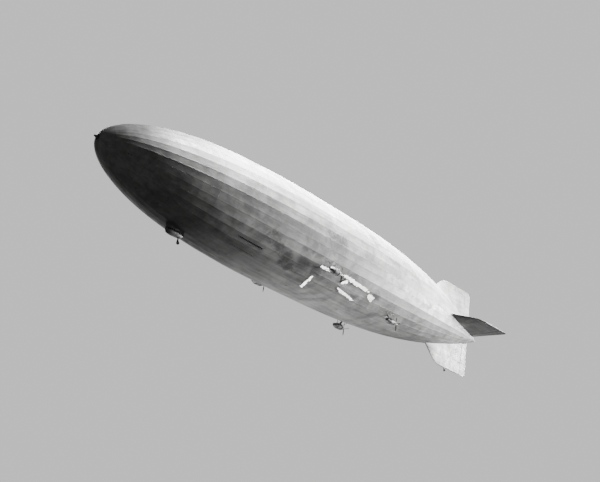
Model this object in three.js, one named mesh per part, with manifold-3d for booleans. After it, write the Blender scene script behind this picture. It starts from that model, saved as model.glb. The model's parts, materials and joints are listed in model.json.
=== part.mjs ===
// A rigid airship of the 1930s as a 1:10 model: fabric cover over 36 longitudinals, four fins with
// rudders and elevators, a glazed control car, four outrigged engine cars with pusher propellers, two
// castoring landing wheels and two boarding stairs. Its port flank is torn open in six places.
// Frame: +X to the bow, +Y to port, +Z up, origin on the hull's axis at its centre of buoyancy.
// Sizes are metres of the real ship, multiplied by M. Places along the hull are stations: metres
// forward of the stern tip, as the real ship's rings are numbered. Clock angles are degrees from
// straight down, positive to port.
import * as THREE from "three";
import { mergeVertices } from "three/addons/utils/BufferGeometryUtils.js";
import Module from "manifold-3d";

const wasm = await Module();
wasm.setup();

const M = 100; // millimetres of the model for each metre of the real ship
const GAP = 0.003; // between pieces that touch
const ORIGIN = 133.5; // station of the centre of buoyancy

// Hull: profile, cover and the stations of the rings that bound each length of cover
const LENGTH = 245;
const RADIUS = 20.6;
const WIDEST = 131;
const BOW_POWER = 2.98;
const BOW_BLUNTNESS = 0.548;
const STERN_POWER = 2.45;
const SIDES = 36;
const FLAT = Math.cos(Math.PI / SIDES); // distance to a facet's middle over distance to its corner
const COVER = 0.1;
const COVERS = {
  bow_cover: [241.5, 238, 231, 224.5, 214, 203],
  fore_cover: [203, 188, 173.5, 156.5],
  mid_cover: [156.5, 140, 123.5, 107],
  aft_cover: [107, 92, 77, 62],
  stern_cover: [62, 47, 33.5, 21, 8],
};
const NOSE = { stations: [241.5, 242.6, 243.7, 244.5, 244.9], hole: 0.5 };
const TAIL = { stations: [8, 4, 1.5], innerTip: 0.35 };
const CONE = { spigot: 0.45, flange: 0.95, thick: 0.15, base: 0.6, tip: 0.28, length: 1.2 };
const FRAMES = { ring_frame_140: 140, ring_frame_124: 123.5 };
const FRAME = { width: 0.3, depth: 1.1 };

// Torn places in the cover: the middle line's two ends as [station, clock], and the greatest width
const RIPS = [
  { from: [145.2, 20.5], to: [145.7, 40], width: 0.95 },
  { from: [145.5, 54.2], to: [137.6, 54.4], width: 0.8 },
  { from: [132.2, 57.4], to: [113.4, 53.4], width: 1.3 },
  { from: [127.6, 54.2], to: [130.6, 47.2], width: 0.8 },
  { from: [130.6, 40.6], to: [117.4, 35.4], width: 0.9 },
  { from: [112.8, 49.6], to: [108, 47.4], width: 2.2 },
];

// Outline of a torn place: along its middle line and across it, as shares of its length and half width
const RIP_PLAN = [
  [0, 0],
  [0.2, 0.7],
  [0.55, 1],
  [0.85, 0.6],
  [1, 0],
  [0.8, -0.8],
  [0.45, -0.9],
  [0.15, -0.8],
];

// Fins, with the rudders and elevators hinged behind them
const HINGE = 13.4;
const FIN = {
  root: 3, // distance from the hull's axis at which the sections start
  tip: 22.3,
  lowerTip: 20.6,
  edgeStation: 58.6, // leading edge at the root
  sweep: 22.6 / 17.4, // stations lost for each metre outwards
  thickRoot: 1.9, // half thicknesses
  thickTip: 0.3,
  postRoot: 0.75,
  postTip: 0.2,
  gap: 0.08,
};
const TRAILING = { station: 8.2, half: 0.06, clear: 0.25 };
// Rows to the rounded tip: distance below the tip, leading edge moved aft, trailing edge forward
const TIP_ROWS = [
  { below: 1.9, lead: 0, trail: 0 },
  { below: 0.8, lead: 1, trail: 0.3 },
  { below: 0.2, lead: 2.6, trail: 1.1 },
  { below: 0, lead: 5, trail: 2.3 },
];
const FINS = [
  { fin: "upper_fin", flap: "upper_rudder", turn: 0, tip: FIN.tip },
  { fin: "port_fin", flap: "port_elevator", turn: -Math.PI / 2, tip: FIN.tip },
  { fin: "starboard_fin", flap: "starboard_elevator", turn: Math.PI / 2, tip: FIN.tip },
  { fin: "lower_fin", flap: "lower_rudder", turn: Math.PI, tip: FIN.lowerTip },
];

// Engine cars: station and clock of the car's axis, which runs STANDOFF outside the cover
const STANDOFF = 3.5;
const CARS = [
  { name: "port_forward", station: 140.8, clock: 57.2 },
  { name: "starboard_forward", station: 140.8, clock: -57.2 },
  { name: "port_aft", station: 93, clock: 37.4 },
  { name: "starboard_aft", station: 93, clock: -37.4 },
];
// Nacelle outline from tail to nose as [x, radius]
const NACELLE = [
  [-3.5, 0.42],
  [-3, 0.72],
  [-2.2, 1.02],
  [-1, 1.24],
  [0.4, 1.3],
  [1.6, 1.2],
  [2.5, 0.98],
  [3, 0.78],
  [3.3, 0.6],
];
const NACELLE_RADIUS = 1.3;
const CAR_SIDES = 12;
const SKIN = 0.1;
const RADIATOR = { front: 3.1, thick: 0.12, lip: 0.5 };
const ENGINE = { length: 2.69, width: 1.02, height: 1.35 };
const BEARER = { x: 0.9, z: -0.34, wide: 0.3, high: 0.16 };
// Struts: from their feet on the two saddles, over the nacelle, to their heads inside the hull
const MOUNT = {
  saddles: [1.3, -1.3],
  wide: 0.3,
  outside: 1.42, // radius of the saddles' outside
  spine: 0.12,
  tube: 0.2, // the climbing tube between hull and car
  strut: 0.1,
  foot: { out: 1.2, across: 0.5 },
  head: { out: 4.5, across: 2.1, along: 0.95 },
};
const PROPELLER = { x: -3.95, pitch: 3.4, hub: 0.3, shaft: 0.15, shaftEnd: -3 };
// Blade sections: distance from the hub's middle, chord and half thickness
const BLADE = [
  { out: 0.15, chord: 0.24, half: 0.1 },
  { out: 0.7, chord: 0.34, half: 0.08 },
  { out: 1.7, chord: 0.46, half: 0.05 },
  { out: 2.6, chord: 0.36, half: 0.03 },
  { out: 3, chord: 0.16, half: 0.016 },
];

// Control car: half lengths ahead of and behind its middle, and levels from the keel to inside the hull
const CAR = { station: 206.5, ahead: 3.6, behind: 5, half: 1.25, corners: 24, wall: 0.1 };
const CAR_LEVELS = [
  { z: -20.1, long: 0.7, wide: 0.55 },
  { z: -19.85, long: 0.84, wide: 0.78 },
  { z: -19.4, long: 0.94, wide: 0.93 },
  { z: -18.95, long: 1, wide: 1 },
  { z: -17.95, long: 1, wide: 1 },
  { z: -15.6, long: 1, wide: 1 },
];
const WINDOW = { bottom: -18.9, top: -18, pillar: 0.14 };
const PANE = { thick: 0.05, bottom: -18.94, top: -17.96 };
const FLOOR = -19.75;
const HELM = { height: 0.92, wheel: 0.36, rim: 0.035, before: 0.22, deep: 0.3, wide: 0.24 };
const TABLE = { long: 1.3, wide: 0.6, high: 0.88, top: 0.06, leg: 0.08 };
const LADDER = { half: 0.22, rail: 0.035, rung: 0.025, high: 2, rungs: 6, spacing: 0.32 };
// Places of the fittings ahead of the car's middle and to port of it
const FITTINGS = {
  rudder_helm: [2.2, 0],
  elevator_helm: [0.9, 0.48],
  chart_table: [-0.9, -0.42],
  car_ladder: [-3, 0],
};

// Landing gear: both wheels stand on the same level
const GEAR = {
  ground: -22.4,
  wheel: 0.65,
  half: 0.25, // half the tyre's width
  rim: 0.36,
  trail: 0.28,
  crown: -20.9, // top of the fork's crown
  legEnd: -20.85,
};
const SPINDLE = { radius: 0.12, hole: 0.13, top: -20.73, play: 0.02 };
const COLUMN = { radius: 0.24, flange: 0.34, flangeThick: 0.08 };
const FAIRING = [[1.1, 0], [0.8, 0.16], [0.2, 0.25], [-0.6, 0.2], [-1.3, 0.03]]; // half its plan
const FORK = { crown: 0.3, thick: 0.14, arm: 0.35, armThick: 0.1, eye: 0.14, axle: 0.06 };
const TYRE = { sides: 20, shoulder: 0.45, square: 0.7, bead: 0.2, hubHalf: 0.28 };
const GEARS = [
  { name: "front", station: 203.7, top: -20.1, leg: "round" },
  { name: "tail", station: 27, top: -FIN.lowerTip, leg: "long" },
];

// Boarding stairs, closed, and promenade windows: both lie in flat facets of the fore cover
const STAIRS = { station: 186.9, clock: 10, length: 4.2, width: 1.1, slope: 45, depth: 0.35 };
const STAIR_GAP = { hinge: 0.06, side: 0.07, end: 0.1 };
const STRINGER = { thick: 0.05, from: 0.25, to: 4 };
const TREAD = { count: 10, first: 0.45, spacing: 0.36, deep: 0.24, thick: 0.03, level: 0.2 };
const PROMENADE = { from: 174.4, to: 187.2, clock: 40, height: 1.15, pane: 0.06, overlap: 0.15 };

const metres = (x, y, z) => new THREE.Vector3(x * M, y * M, z * M);
const stationX = (station) => station - ORIGIN;
const radians = THREE.MathUtils.degToRad;
const lerp = THREE.MathUtils.lerp;

// Radius of the hull's outer corners at a station.
function hullRadius(station) {
  if (station > WIDEST) {
    const ahead = Math.min(1, (station - WIDEST) / (LENGTH - WIDEST));
    return RADIUS * Math.max(0, 1 - ahead ** BOW_POWER) ** BOW_BLUNTNESS;
  }
  const behind = Math.min(1, (WIDEST - station) / WIDEST);
  return RADIUS * (1 - behind ** STERN_POWER);
}

// Change of the hull's radius for each metre forward.
function hullSlope(station) {
  const step = 0.05;
  return (hullRadius(station + step) - hullRadius(station - step)) / (2 * step);
}

// Radius a given depth below the cover's outer face.
function radiusBelow(station, depth) {
  return hullRadius(station) - depth * Math.hypot(1, hullSlope(station));
}

// Solid of a closed geometry, with its faces pointing out.
function solidOf(geometry) {
  const bare = geometry.index ? geometry.toNonIndexed() : geometry.clone();
  for (const name of Object.keys(bare.attributes)) {
    if (name !== "position") bare.deleteAttribute(name);
  }
  const merged = mergeVertices(bare, 1e-3);
  const build = (triVerts) => new wasm.Manifold(
    new wasm.Mesh({ numProp: 3, vertProperties: merged.attributes.position.array, triVerts }),
  );
  const triVerts = new Uint32Array(merged.index.array);
  const made = build(triVerts);
  if (made.volume() > 0) return made;
  return build(triVerts.map((_, i) => triVerts[i - (i % 3) + [0, 2, 1][i % 3]]));
}

function geometryOf(solid) {
  const mesh = solid.getMesh();
  const positions = new Float32Array(mesh.numVert * 3);
  for (let i = 0; i < mesh.numVert; i++) {
    positions.set(mesh.vertProperties.subarray(i * mesh.numProp, i * mesh.numProp + 3), i * 3);
  }
  const geometry = new THREE.BufferGeometry();
  geometry.setAttribute("position", new THREE.BufferAttribute(positions, 3));
  geometry.setIndex(new THREE.BufferAttribute(mesh.triVerts, 1));
  return geometry;
}

const joined = (solids) => solids.reduce((whole, next) => whole.add(next));

// A box of the given sizes, centred on a point and turned about Y by an angle.
function block(sizes, centre, turn = 0) {
  const geometry = new THREE.BoxGeometry(...sizes.map((size) => size * M));
  geometry.rotateY(turn);
  geometry.translate(...centre.map((place) => place * M));
  return solidOf(geometry);
}

// A body of revolution about X from [x, radius] pairs.
function turned(profile, sides, phase = 0) {
  const points = profile.map(([x, radius]) => new THREE.Vector2(radius * M, x * M));
  const lathe = new THREE.LatheGeometry(points, sides, phase);
  lathe.rotateZ(-Math.PI / 2);
  return solidOf(lathe);
}

// A closed skin through rings of points, each ring with the same count.
function loft(rings) {
  const count = rings[0].length;
  const last = (rings.length - 1) * count;
  const index = [];
  for (let ring = 0; ring < rings.length - 1; ring++) {
    for (let i = 0; i < count; i++) {
      const a = ring * count + i;
      const b = ring * count + ((i + 1) % count);
      index.push(a, b, b + count, a, b + count, a + count);
    }
  }
  for (let i = 1; i < count - 1; i++) {
    index.push(0, i + 1, i, last, last + i, last + i + 1);
  }
  const geometry = new THREE.BufferGeometry().setFromPoints(rings.flat());
  geometry.setIndex(index);
  return solidOf(geometry);
}

// A round rod between two points.
function rod(from, to, radius, sides = 6) {
  const start = metres(...from);
  const along = metres(...to).sub(start);
  const geometry = new THREE.CylinderGeometry(radius * M, radius * M, along.length(), sides);
  geometry.translate(0, along.length() / 2, 0);
  const up = new THREE.Vector3(0, 1, 0);
  geometry.applyQuaternion(new THREE.Quaternion().setFromUnitVectors(up, along.normalize()));
  geometry.translate(start.x, start.y, start.z);
  return solidOf(geometry);
}

const material = (color, roughness, metalness) =>
  new THREE.MeshStandardMaterial({ color, roughness, metalness });
const FABRIC = material(0x8d9092, 0.55, 0.15);
const DURALUMIN = material(0x9a9ea1, 0.35, 0.8);
const STEEL = material(0x5c6164, 0.45, 0.7);
const IRON = material(0x3a3d3f, 0.6, 0.6);
const WALNUT = material(0x5d3c24, 0.45, 0);
const RUBBER = material(0x1d1d1e, 0.85, 0);
const GLASS = material(0x2b3338, 0.08, 0);
const PLY = material(0x8a6a45, 0.6, 0);

const ship = new THREE.Group();

function add(parent, name, solid, look) {
  const mesh = new THREE.Mesh(geometryOf(solid), look);
  mesh.name = name;
  parent.add(mesh);
  return mesh;
}

function groupAt(parent, x, y, z) {
  const group = new THREE.Group();
  group.position.copy(metres(x, y, z));
  parent.add(group);
  return group;
}

// The whole hull as one solid, grown by a margin, to cut what is fixed to it.
function hullSolid(margin) {
  const rings = [...new Set(Object.values(COVERS).flat()), ...TAIL.stations.slice(1)];
  const profile = rings.map((s) => [stationX(s), hullRadius(s) + margin]);
  profile.push([stationX(0) - margin, 0]);
  return turned([[stationX(rings[0]), 0], ...profile], SIDES, Math.PI / SIDES);
}
const HULL = hullSolid(2 * GAP);

// A length of shell between rings, its outer face a depth below the cover's outer face.
function shell(stations, depth, thick) {
  const ends = [stations[0], stations.at(-1)];
  const x = (s) => stationX(s) + (s === ends[0] ? -GAP / 2 : 0) + (s === ends[1] ? GAP / 2 : 0);
  const outer = stations.map((s) => [x(s), radiusBelow(s, depth)]);
  const inner = stations.map((s) => [x(s), radiusBelow(s, depth + thick)]).reverse();
  return turned([...outer, ...inner, outer[0]], SIDES, Math.PI / SIDES);
}

// The group of a facet of the fore cover: X aft along it, Z into the hull, from a place given by
// station and clock.
function facetGroup(station, clock) {
  const [ahead, behind] = COVERS.fore_cover.slice(1, 3);
  const slope = (hullRadius(ahead) - hullRadius(behind)) / (ahead - behind);
  const radius = (hullRadius(behind) + slope * (station - behind)) * FLAT;
  const angle = radians(clock);
  const outward = new THREE.Vector3(0, Math.sin(angle), -Math.cos(angle));
  const aft = new THREE.Vector3(-1, 0, 0).addScaledVector(outward, -slope * FLAT).normalize();
  const inward = outward.clone().addScaledVector(aft, -outward.dot(aft)).normalize().negate();
  const group = groupAt(ship, stationX(station), radius * Math.sin(angle), -radius * Math.cos(angle));
  const across = new THREE.Vector3().crossVectors(inward, aft);
  group.quaternion.setFromRotationMatrix(new THREE.Matrix4().makeBasis(aft, across, inward));
  group.updateMatrixWorld(true);
  return group;
}

// A stair in its facet's own frame, hinged at the front edge of the cover's outer face.
function stairSolid() {
  const start = STAIR_GAP.hinge;
  const rail = (side) => block(
    [STRINGER.to - STRINGER.from, STRINGER.thick, STAIRS.depth - COVER / 2],
    [(STRINGER.from + STRINGER.to) / 2, side * (STAIRS.width - STRINGER.thick) / 2,
      (STAIRS.depth + COVER / 2) / 2],
  );
  const plate = block(
    [STAIRS.length - start, STAIRS.width, COVER],
    [(STAIRS.length + start) / 2, 0, COVER / 2],
  );
  const treads = Array.from({ length: TREAD.count }, (_, i) => block(
    [TREAD.deep, STAIRS.width - STRINGER.thick, TREAD.thick],
    [TREAD.first + i * TREAD.spacing, 0, TREAD.level],
    -radians(STAIRS.slope),
  ));
  return joined([plate, rail(1), rail(-1), ...treads]);
}

// The well that a stair closes.
function stairWell() {
  const length = STAIRS.length + STAIR_GAP.end;
  return block([length, STAIRS.width + 2 * STAIR_GAP.side, 6 * COVER], [length / 2, 0, 0]);
}

// A box along a facet over the promenade, grown lengthwise and across by a margin.
function promenadeBox(margin) {
  const length = PROMENADE.to - PROMENADE.from + 2 * margin;
  return block([length, PROMENADE.height + 2 * margin, 8 * COVER], [length / 2 - margin, 0, 0]);
}

function foreCover() {
  let cover = shell(COVERS.fore_cover, 0, COVER);
  const behindCover = shell(COVERS.fore_cover.slice(1, 3), COVER + GAP, PROMENADE.pane);
  for (const [side, name] of [[1, "port"], [-1, "starboard"]]) {
    const stairs = facetGroup(STAIRS.station, side * STAIRS.clock);
    cover = cover.subtract(stairWell().transform(stairs.matrixWorld.elements));
    add(stairs, `stairs_${name}`, stairSolid(), DURALUMIN);
    const windows = facetGroup(PROMENADE.to, side * PROMENADE.clock).matrixWorld.elements;
    cover = cover.subtract(promenadeBox(0).transform(windows));
    const strip = behindCover.intersect(promenadeBox(PROMENADE.overlap).transform(windows));
    add(ship, `promenade_glazing_${name}`, strip, GLASS);
  }
  add(ship, "fore_cover", cover, FABRIC);
}

// A torn place: a lens in plan, cut from inside the cover to outside it.
function ripSolid({ from, to, width }) {
  const radius = hullRadius((from[0] + to[0]) / 2);
  const metresPerDegree = radians(1) * radius;
  const run = new THREE.Vector2(to[0] - from[0], (to[1] - from[1]) * metresPerDegree);
  const side = new THREE.Vector2(-run.y, run.x).setLength(width / 2);
  const ring = (distance) => RIP_PLAN.map(([along, across]) => {
    const station = from[0] + along * run.x + across * side.x;
    const angle = radians(from[1]) + (along * run.y + across * side.y) / radius;
    return metres(stationX(station), distance * Math.sin(angle), -distance * Math.cos(angle));
  });
  return loft([ring(radius - 1), ring(radius + 1)]);
}

function hullCovers() {
  for (const [name, stations] of Object.entries(COVERS)) {
    if (name === "fore_cover") {
      foreCover();
    } else if (name === "mid_cover") {
      const torn = RIPS.reduce((cover, rip) => cover.subtract(ripSolid(rip)), shell(stations, 0, COVER));
      add(ship, name, torn, FABRIC);
    } else {
      add(ship, name, shell(stations, 0, COVER), FABRIC);
    }
  }
  for (const [name, station] of Object.entries(FRAMES)) {
    const outer = radiusBelow(station, COVER + 2 * GAP);
    const x = stationX(station);
    const section = [
      [x + FRAME.width / 2, outer],
      [x - FRAME.width / 2, outer],
      [x - FRAME.width / 2, outer - FRAME.depth],
      [x + FRAME.width / 2, outer - FRAME.depth],
      [x + FRAME.width / 2, outer],
    ];
    add(ship, name, turned(section, SIDES, Math.PI / SIDES), DURALUMIN);
  }
}

function noseAndTail() {
  const outer = NOSE.stations.map((s) => [stationX(s), hullRadius(s)]);
  outer[0][0] += GAP / 2;
  const inner = NOSE.stations.slice(1, -1).map((s) => {
    const slope = hullSlope(s);
    const depth = COVER / Math.hypot(1, slope);
    return [stationX(s) + slope * depth, hullRadius(s) - depth];
  });
  const front = stationX(NOSE.stations.at(-1));
  const start = [outer[0][0], radiusBelow(NOSE.stations[0], COVER)];
  const lip = [[front, NOSE.hole], [front - COVER, NOSE.hole]];
  const profile = [...outer, ...lip, ...inner.reverse(), start, outer[0]];
  add(ship, "nose_cap", turned(profile, SIDES, Math.PI / SIDES), FABRIC);

  const face = front + GAP;
  const cone = [
    [front - 2 * COVER, 0],
    [front - 2 * COVER, CONE.spigot],
    [face, CONE.spigot],
    [face, CONE.flange],
    [face + CONE.thick, CONE.flange],
    [face + CONE.thick, CONE.base],
    [face + CONE.thick + CONE.length, CONE.tip],
    [face + CONE.thick + CONE.length, 0],
  ];
  add(ship, "mooring_cone", turned(cone, 24), STEEL);

  const rim = stationX(TAIL.stations[0]) - GAP / 2;
  const behind = TAIL.stations.slice(1);
  const tail = [
    [rim, hullRadius(TAIL.stations[0])],
    ...behind.map((s) => [stationX(s), hullRadius(s)]),
    [stationX(0), 0],
    [stationX(TAIL.innerTip), 0],
    ...behind.map((s) => [stationX(s), radiusBelow(s, COVER)]).reverse(),
    [rim, radiusBelow(TAIL.stations[0], COVER)],
    [rim, hullRadius(TAIL.stations[0])],
  ];
  add(ship, "tail_cone", turned(tail, SIDES, Math.PI / SIDES), FABRIC);
}

// Half thicknesses of a fin and of its rear post, at a distance from the hull's axis.
function finHalf(height, tip) {
  const share = (height - FIN.root) / (tip - FIN.root);
  return { thick: lerp(FIN.thickRoot, FIN.thickTip, share), post: lerp(FIN.postRoot, FIN.postTip, share) };
}

const finRows = (tip) => [
  { height: FIN.root, lead: 0, trail: 0 },
  ...TIP_ROWS.map((row) => ({ height: tip - row.below, lead: row.lead, trail: row.trail })),
];

function finSolid(tip) {
  const rings = finRows(tip).map(({ height, lead }) => {
    const { thick, post } = finHalf(height, tip);
    const front = FIN.edgeStation - (height - FIN.root) * FIN.sweep - lead;
    const chord = front - (HINGE + post + FIN.gap);
    // Shares of the chord, with the half thickness there
    const half = [
      [0.05, 0.45 * thick],
      [0.15, 0.78 * thick],
      [0.35, thick],
      [0.7, lerp(post, thick, 0.6)],
      [1, post],
    ];
    const edge = (side) =>
      half.map(([share, y]) => metres(stationX(front - share * chord), side * y, height));
    return [metres(stationX(front), 0, height), ...edge(1), ...edge(-1).reverse()];
  });
  return loft(rings).subtract(HULL);
}

function flapSolid(tip, hullClear) {
  const nose = 6;
  const rings = finRows(tip).map(({ height, trail }) => {
    const { post } = finHalf(height, tip);
    const round = Array.from({ length: nose + 1 }, (_, i) => {
      const angle = Math.PI * (i / nose - 0.5);
      return metres(stationX(HINGE) + post * Math.cos(angle), post * Math.sin(angle), height);
    });
    const rear = stationX(TRAILING.station + trail);
    return [...round, metres(rear, TRAILING.half, height), metres(rear, -TRAILING.half, height)];
  });
  rings[0].forEach((point) => point.setZ((FIN.root - TRAILING.clear) * M));
  return loft(rings).subtract(hullClear);
}

function tailSurfaces() {
  const hullClear = hullSolid(TRAILING.clear);
  for (const { fin, flap, turn, tip } of FINS) {
    add(ship, fin, finSolid(tip), FABRIC).rotation.x = turn;
    add(ship, flap, flapSolid(tip, hullClear), FABRIC).rotation.x = turn;
  }
}

// The nacelle's outside, grown by a margin, as a solid.
function nacelleBody(margin) {
  const outline = NACELLE.map(([x, radius]) => [x, radius + margin]);
  return turned([[outline[0][0], 0], ...outline, [outline.at(-1)[0], 0]], CAR_SIDES, Math.PI / CAR_SIDES);
}

// Skin with a hole for the shaft at the tail and a closed radiator set back in the nose.
function nacelleSolid() {
  const inner = NACELLE.slice(1, -1).map(([x, radius]) => [x, radius - SKIN]).reverse();
  const [tailX, tailRadius] = NACELLE[0];
  const noseX = NACELLE.at(-1)[0];
  const back = RADIATOR.front - RADIATOR.thick;
  const forward = inner.filter(([x]) => x < back);
  const profile = [
    ...NACELLE,
    [noseX, RADIATOR.lip],
    [RADIATOR.front, RADIATOR.lip],
    [RADIATOR.front, 0],
    [back, 0],
    [back, RADIATOR.lip + SKIN / 2],
    ...forward,
    [tailX, tailRadius - SKIN],
    NACELLE[0],
  ];
  return turned(profile, CAR_SIDES, Math.PI / CAR_SIDES);
}

// Engine block on its two bearers, trimmed to the inside of the skin.
function engineSolid() {
  const core = block([ENGINE.length, ENGINE.width, ENGINE.height], [0, 0, 0]);
  const bearers = [-1, 1].map((end) =>
    block([BEARER.wide, 2 * NACELLE_RADIUS, BEARER.high], [end * BEARER.x, 0, BEARER.z]));
  return joined([core, ...bearers]).intersect(nacelleBody(-SKIN - GAP));
}

// Saddles round the nacelle, a spine over it and struts to the hull, cut to both.
function mountSolid(clock) {
  const angle = radians(clock);
  const toHull = (x, out, across) => [
    x,
    -out * Math.sin(angle) + across * Math.cos(angle),
    out * Math.cos(angle) + across * Math.sin(angle),
  ];
  const saddle = (x) => turned([
    [x - MOUNT.wide / 2, 0],
    [x - MOUNT.wide / 2, MOUNT.outside],
    [x + MOUNT.wide / 2, MOUNT.outside],
    [x + MOUNT.wide / 2, 0],
  ], CAR_SIDES, Math.PI / CAR_SIDES);
  const { foot, head } = MOUNT;
  const pieces = [
    ...MOUNT.saddles.map(saddle),
    rod(...MOUNT.saddles.map((x) => toHull(x, NACELLE_RADIUS, 0)), MOUNT.spine),
    rod(toHull(0, foot.out, 0), toHull(0, head.out, 0), MOUNT.tube),
  ];
  for (const x of MOUNT.saddles) {
    for (const side of [-1, 1]) {
      const low = toHull(x, foot.out, side * foot.across);
      const high = toHull(x + Math.sign(x) * head.along, head.out, side * head.across);
      pieces.push(rod(low, high, MOUNT.strut));
    }
  }
  return joined(pieces).subtract(nacelleBody(GAP));
}

// One blade standing up from the hub's middle, twisted to its pitch.
function bladeSolid() {
  const rings = BLADE.map(({ out, chord, half }) => {
    const pitch = Math.atan2(PROPELLER.pitch, 2 * Math.PI * Math.max(out, 0.7));
    const section = [[0.5, 0], [0.15, 1], [-0.3, 0.7], [-0.5, 0], [-0.3, -0.5], [0.15, -0.6]];
    return section.map(([share, thick]) => {
      const along = share * chord;
      const off = thick * half;
      const x = along * Math.sin(pitch) + off * Math.cos(pitch);
      const y = along * Math.cos(pitch) - off * Math.sin(pitch);
      return metres(PROPELLER.x + x, y, out);
    });
  });
  return loft(rings);
}

function propellerSolid() {
  const hubBack = PROPELLER.x - PROPELLER.hub;
  const spinner = turned([
    [hubBack - 0.35, 0],
    [hubBack - 0.22, 0.18],
    [hubBack, PROPELLER.hub],
    [PROPELLER.x + 0.2, PROPELLER.hub + 0.03],
    [PROPELLER.x + 0.28, PROPELLER.shaft],
    [PROPELLER.shaftEnd, PROPELLER.shaft],
    [PROPELLER.shaftEnd, 0],
  ], 12);
  const blade = bladeSolid();
  const quarters = [0, 90, 180, 270].map((degrees) => blade.rotate([degrees, 0, 0]));
  return joined([spinner, ...quarters]);
}

function engineCars() {
  const nacelle = nacelleSolid();
  const engine = engineSolid();
  const propeller = propellerSolid();
  for (const { name, station, clock } of CARS) {
    const out = hullRadius(station) + STANDOFF;
    const angle = radians(clock);
    const place = [stationX(station), out * Math.sin(angle), -out * Math.cos(angle)];
    const car = groupAt(ship, ...place);
    add(car, `${name}_nacelle`, nacelle, DURALUMIN);
    add(car, `${name}_engine`, engine, IRON);
    add(car, `${name}_propeller`, propeller, WALNUT);
    const hullHere = HULL.translate(place.map((metre) => -metre * M));
    add(car, `${name}_mount`, mountSolid(clock).subtract(hullHere), STEEL);
  }
}

// Corners of the control car's plan, moved in by a distance.
function carPlan(inset) {
  const corners = Array.from({ length: CAR.corners }, (_, i) => {
    const angle = (2 * Math.PI * i) / CAR.corners;
    const long = Math.cos(angle) > 0 ? CAR.ahead : CAR.behind;
    return new THREE.Vector2(long * Math.cos(angle), CAR.half * Math.sin(angle));
  });
  return corners.map((corner, i) => {
    const before = corners[(i + CAR.corners - 1) % CAR.corners];
    const after = corners[(i + 1) % CAR.corners];
    const one = corner.clone().sub(before).normalize();
    const two = after.clone().sub(corner).normalize();
    const inward = new THREE.Vector2(-one.y - two.y, one.x + two.x).normalize();
    const turnCos = inward.dot(new THREE.Vector2(-one.y, one.x));
    return corner.clone().addScaledVector(inward, inset / turnCos);
  });
}

const carRing = (inset, { z, long, wide }) =>
  carPlan(inset).map((corner) => metres(corner.x * long, corner.y * wide, z));

// Window holes, one in each side of the plan but the two at the stern.
function windowCuts() {
  const plan = carPlan(0);
  const middle = (WINDOW.bottom + WINDOW.top) / 2;
  const cuts = [];
  const stern = CAR.corners / 2;
  plan.forEach((corner, i) => {
    if (i === stern - 1 || i === stern) return;
    const next = plan[(i + 1) % CAR.corners];
    const along = next.clone().sub(corner);
    const centre = corner.clone().add(next).multiplyScalar(0.5);
    const wide = along.length() - WINDOW.pillar;
    const cut = new THREE.BoxGeometry(wide * M, 0.5 * M, (WINDOW.top - WINDOW.bottom) * M);
    cut.rotateZ(Math.atan2(along.y, along.x));
    cut.translate(centre.x * M, centre.y * M, middle * M);
    cuts.push(solidOf(cut));
  });
  return cuts;
}

function controlCar() {
  const car = groupAt(ship, stationX(CAR.station), 0, 0);
  const outside = loft(CAR_LEVELS.map((level) => carRing(0, level)));
  const innerLevels = CAR_LEVELS.map((level, i) => {
    const lift = i === 0 ? CAR.wall : 0;
    return { ...level, z: level.z + lift + (i === CAR_LEVELS.length - 1 ? 1 : 0) };
  });
  const inside = loft(innerLevels.map((level) => carRing(CAR.wall, level)));
  const hullHere = HULL.translate([-stationX(CAR.station) * M, 0, 0]);
  const body = outside.subtract(joined([inside, hullHere, ...windowCuts()]));
  add(car, "control_car", body, DURALUMIN);

  const pane = { long: 1, wide: 1 };
  const paneRing = (inset) => loft([
    carRing(inset, { ...pane, z: PANE.bottom }),
    carRing(inset, { ...pane, z: PANE.top }),
  ]);
  const glass = paneRing(CAR.wall + GAP).subtract(
    loft([
      carRing(CAR.wall + GAP + PANE.thick, { ...pane, z: PANE.bottom - 1 }),
      carRing(CAR.wall + GAP + PANE.thick, { ...pane, z: PANE.top + 1 }),
    ]),
  );
  add(car, "car_glazing", glass, GLASS);

  const floor = loft([
    carRing(CAR.wall, { z: CAR_LEVELS[0].z + CAR.wall + GAP, long: 0.68, wide: 0.5 }),
    carRing(CAR.wall, { z: FLOOR, long: 0.82, wide: 0.72 }),
  ]);
  add(car, "car_floor", floor, PLY);
  carFittings(car);
}

// A hand wheel on its pedestal, facing +X, standing on Z = 0.
function helmSolid() {
  const { height, wheel, rim, before } = HELM;
  const hoop = new THREE.TorusGeometry(wheel * M, rim * M, 5, 14);
  hoop.rotateY(Math.PI / 2);
  hoop.translate(-before * M, 0, height * M);
  const pedestal = block([HELM.deep, HELM.wide, height + 0.1], [0, 0, (height + 0.1) / 2]);
  const spokes = [0, 60, 120].map((degrees) => {
    const y = wheel * Math.cos(radians(degrees));
    const z = wheel * Math.sin(radians(degrees));
    return rod([-before, -y, height - z], [-before, y, height + z], rim / 2, 4);
  });
  const hub = rod([-before - rim, 0, height], [0, 0, height], 2 * rim);
  return joined([solidOf(hoop), pedestal, hub, ...spokes]);
}

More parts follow.
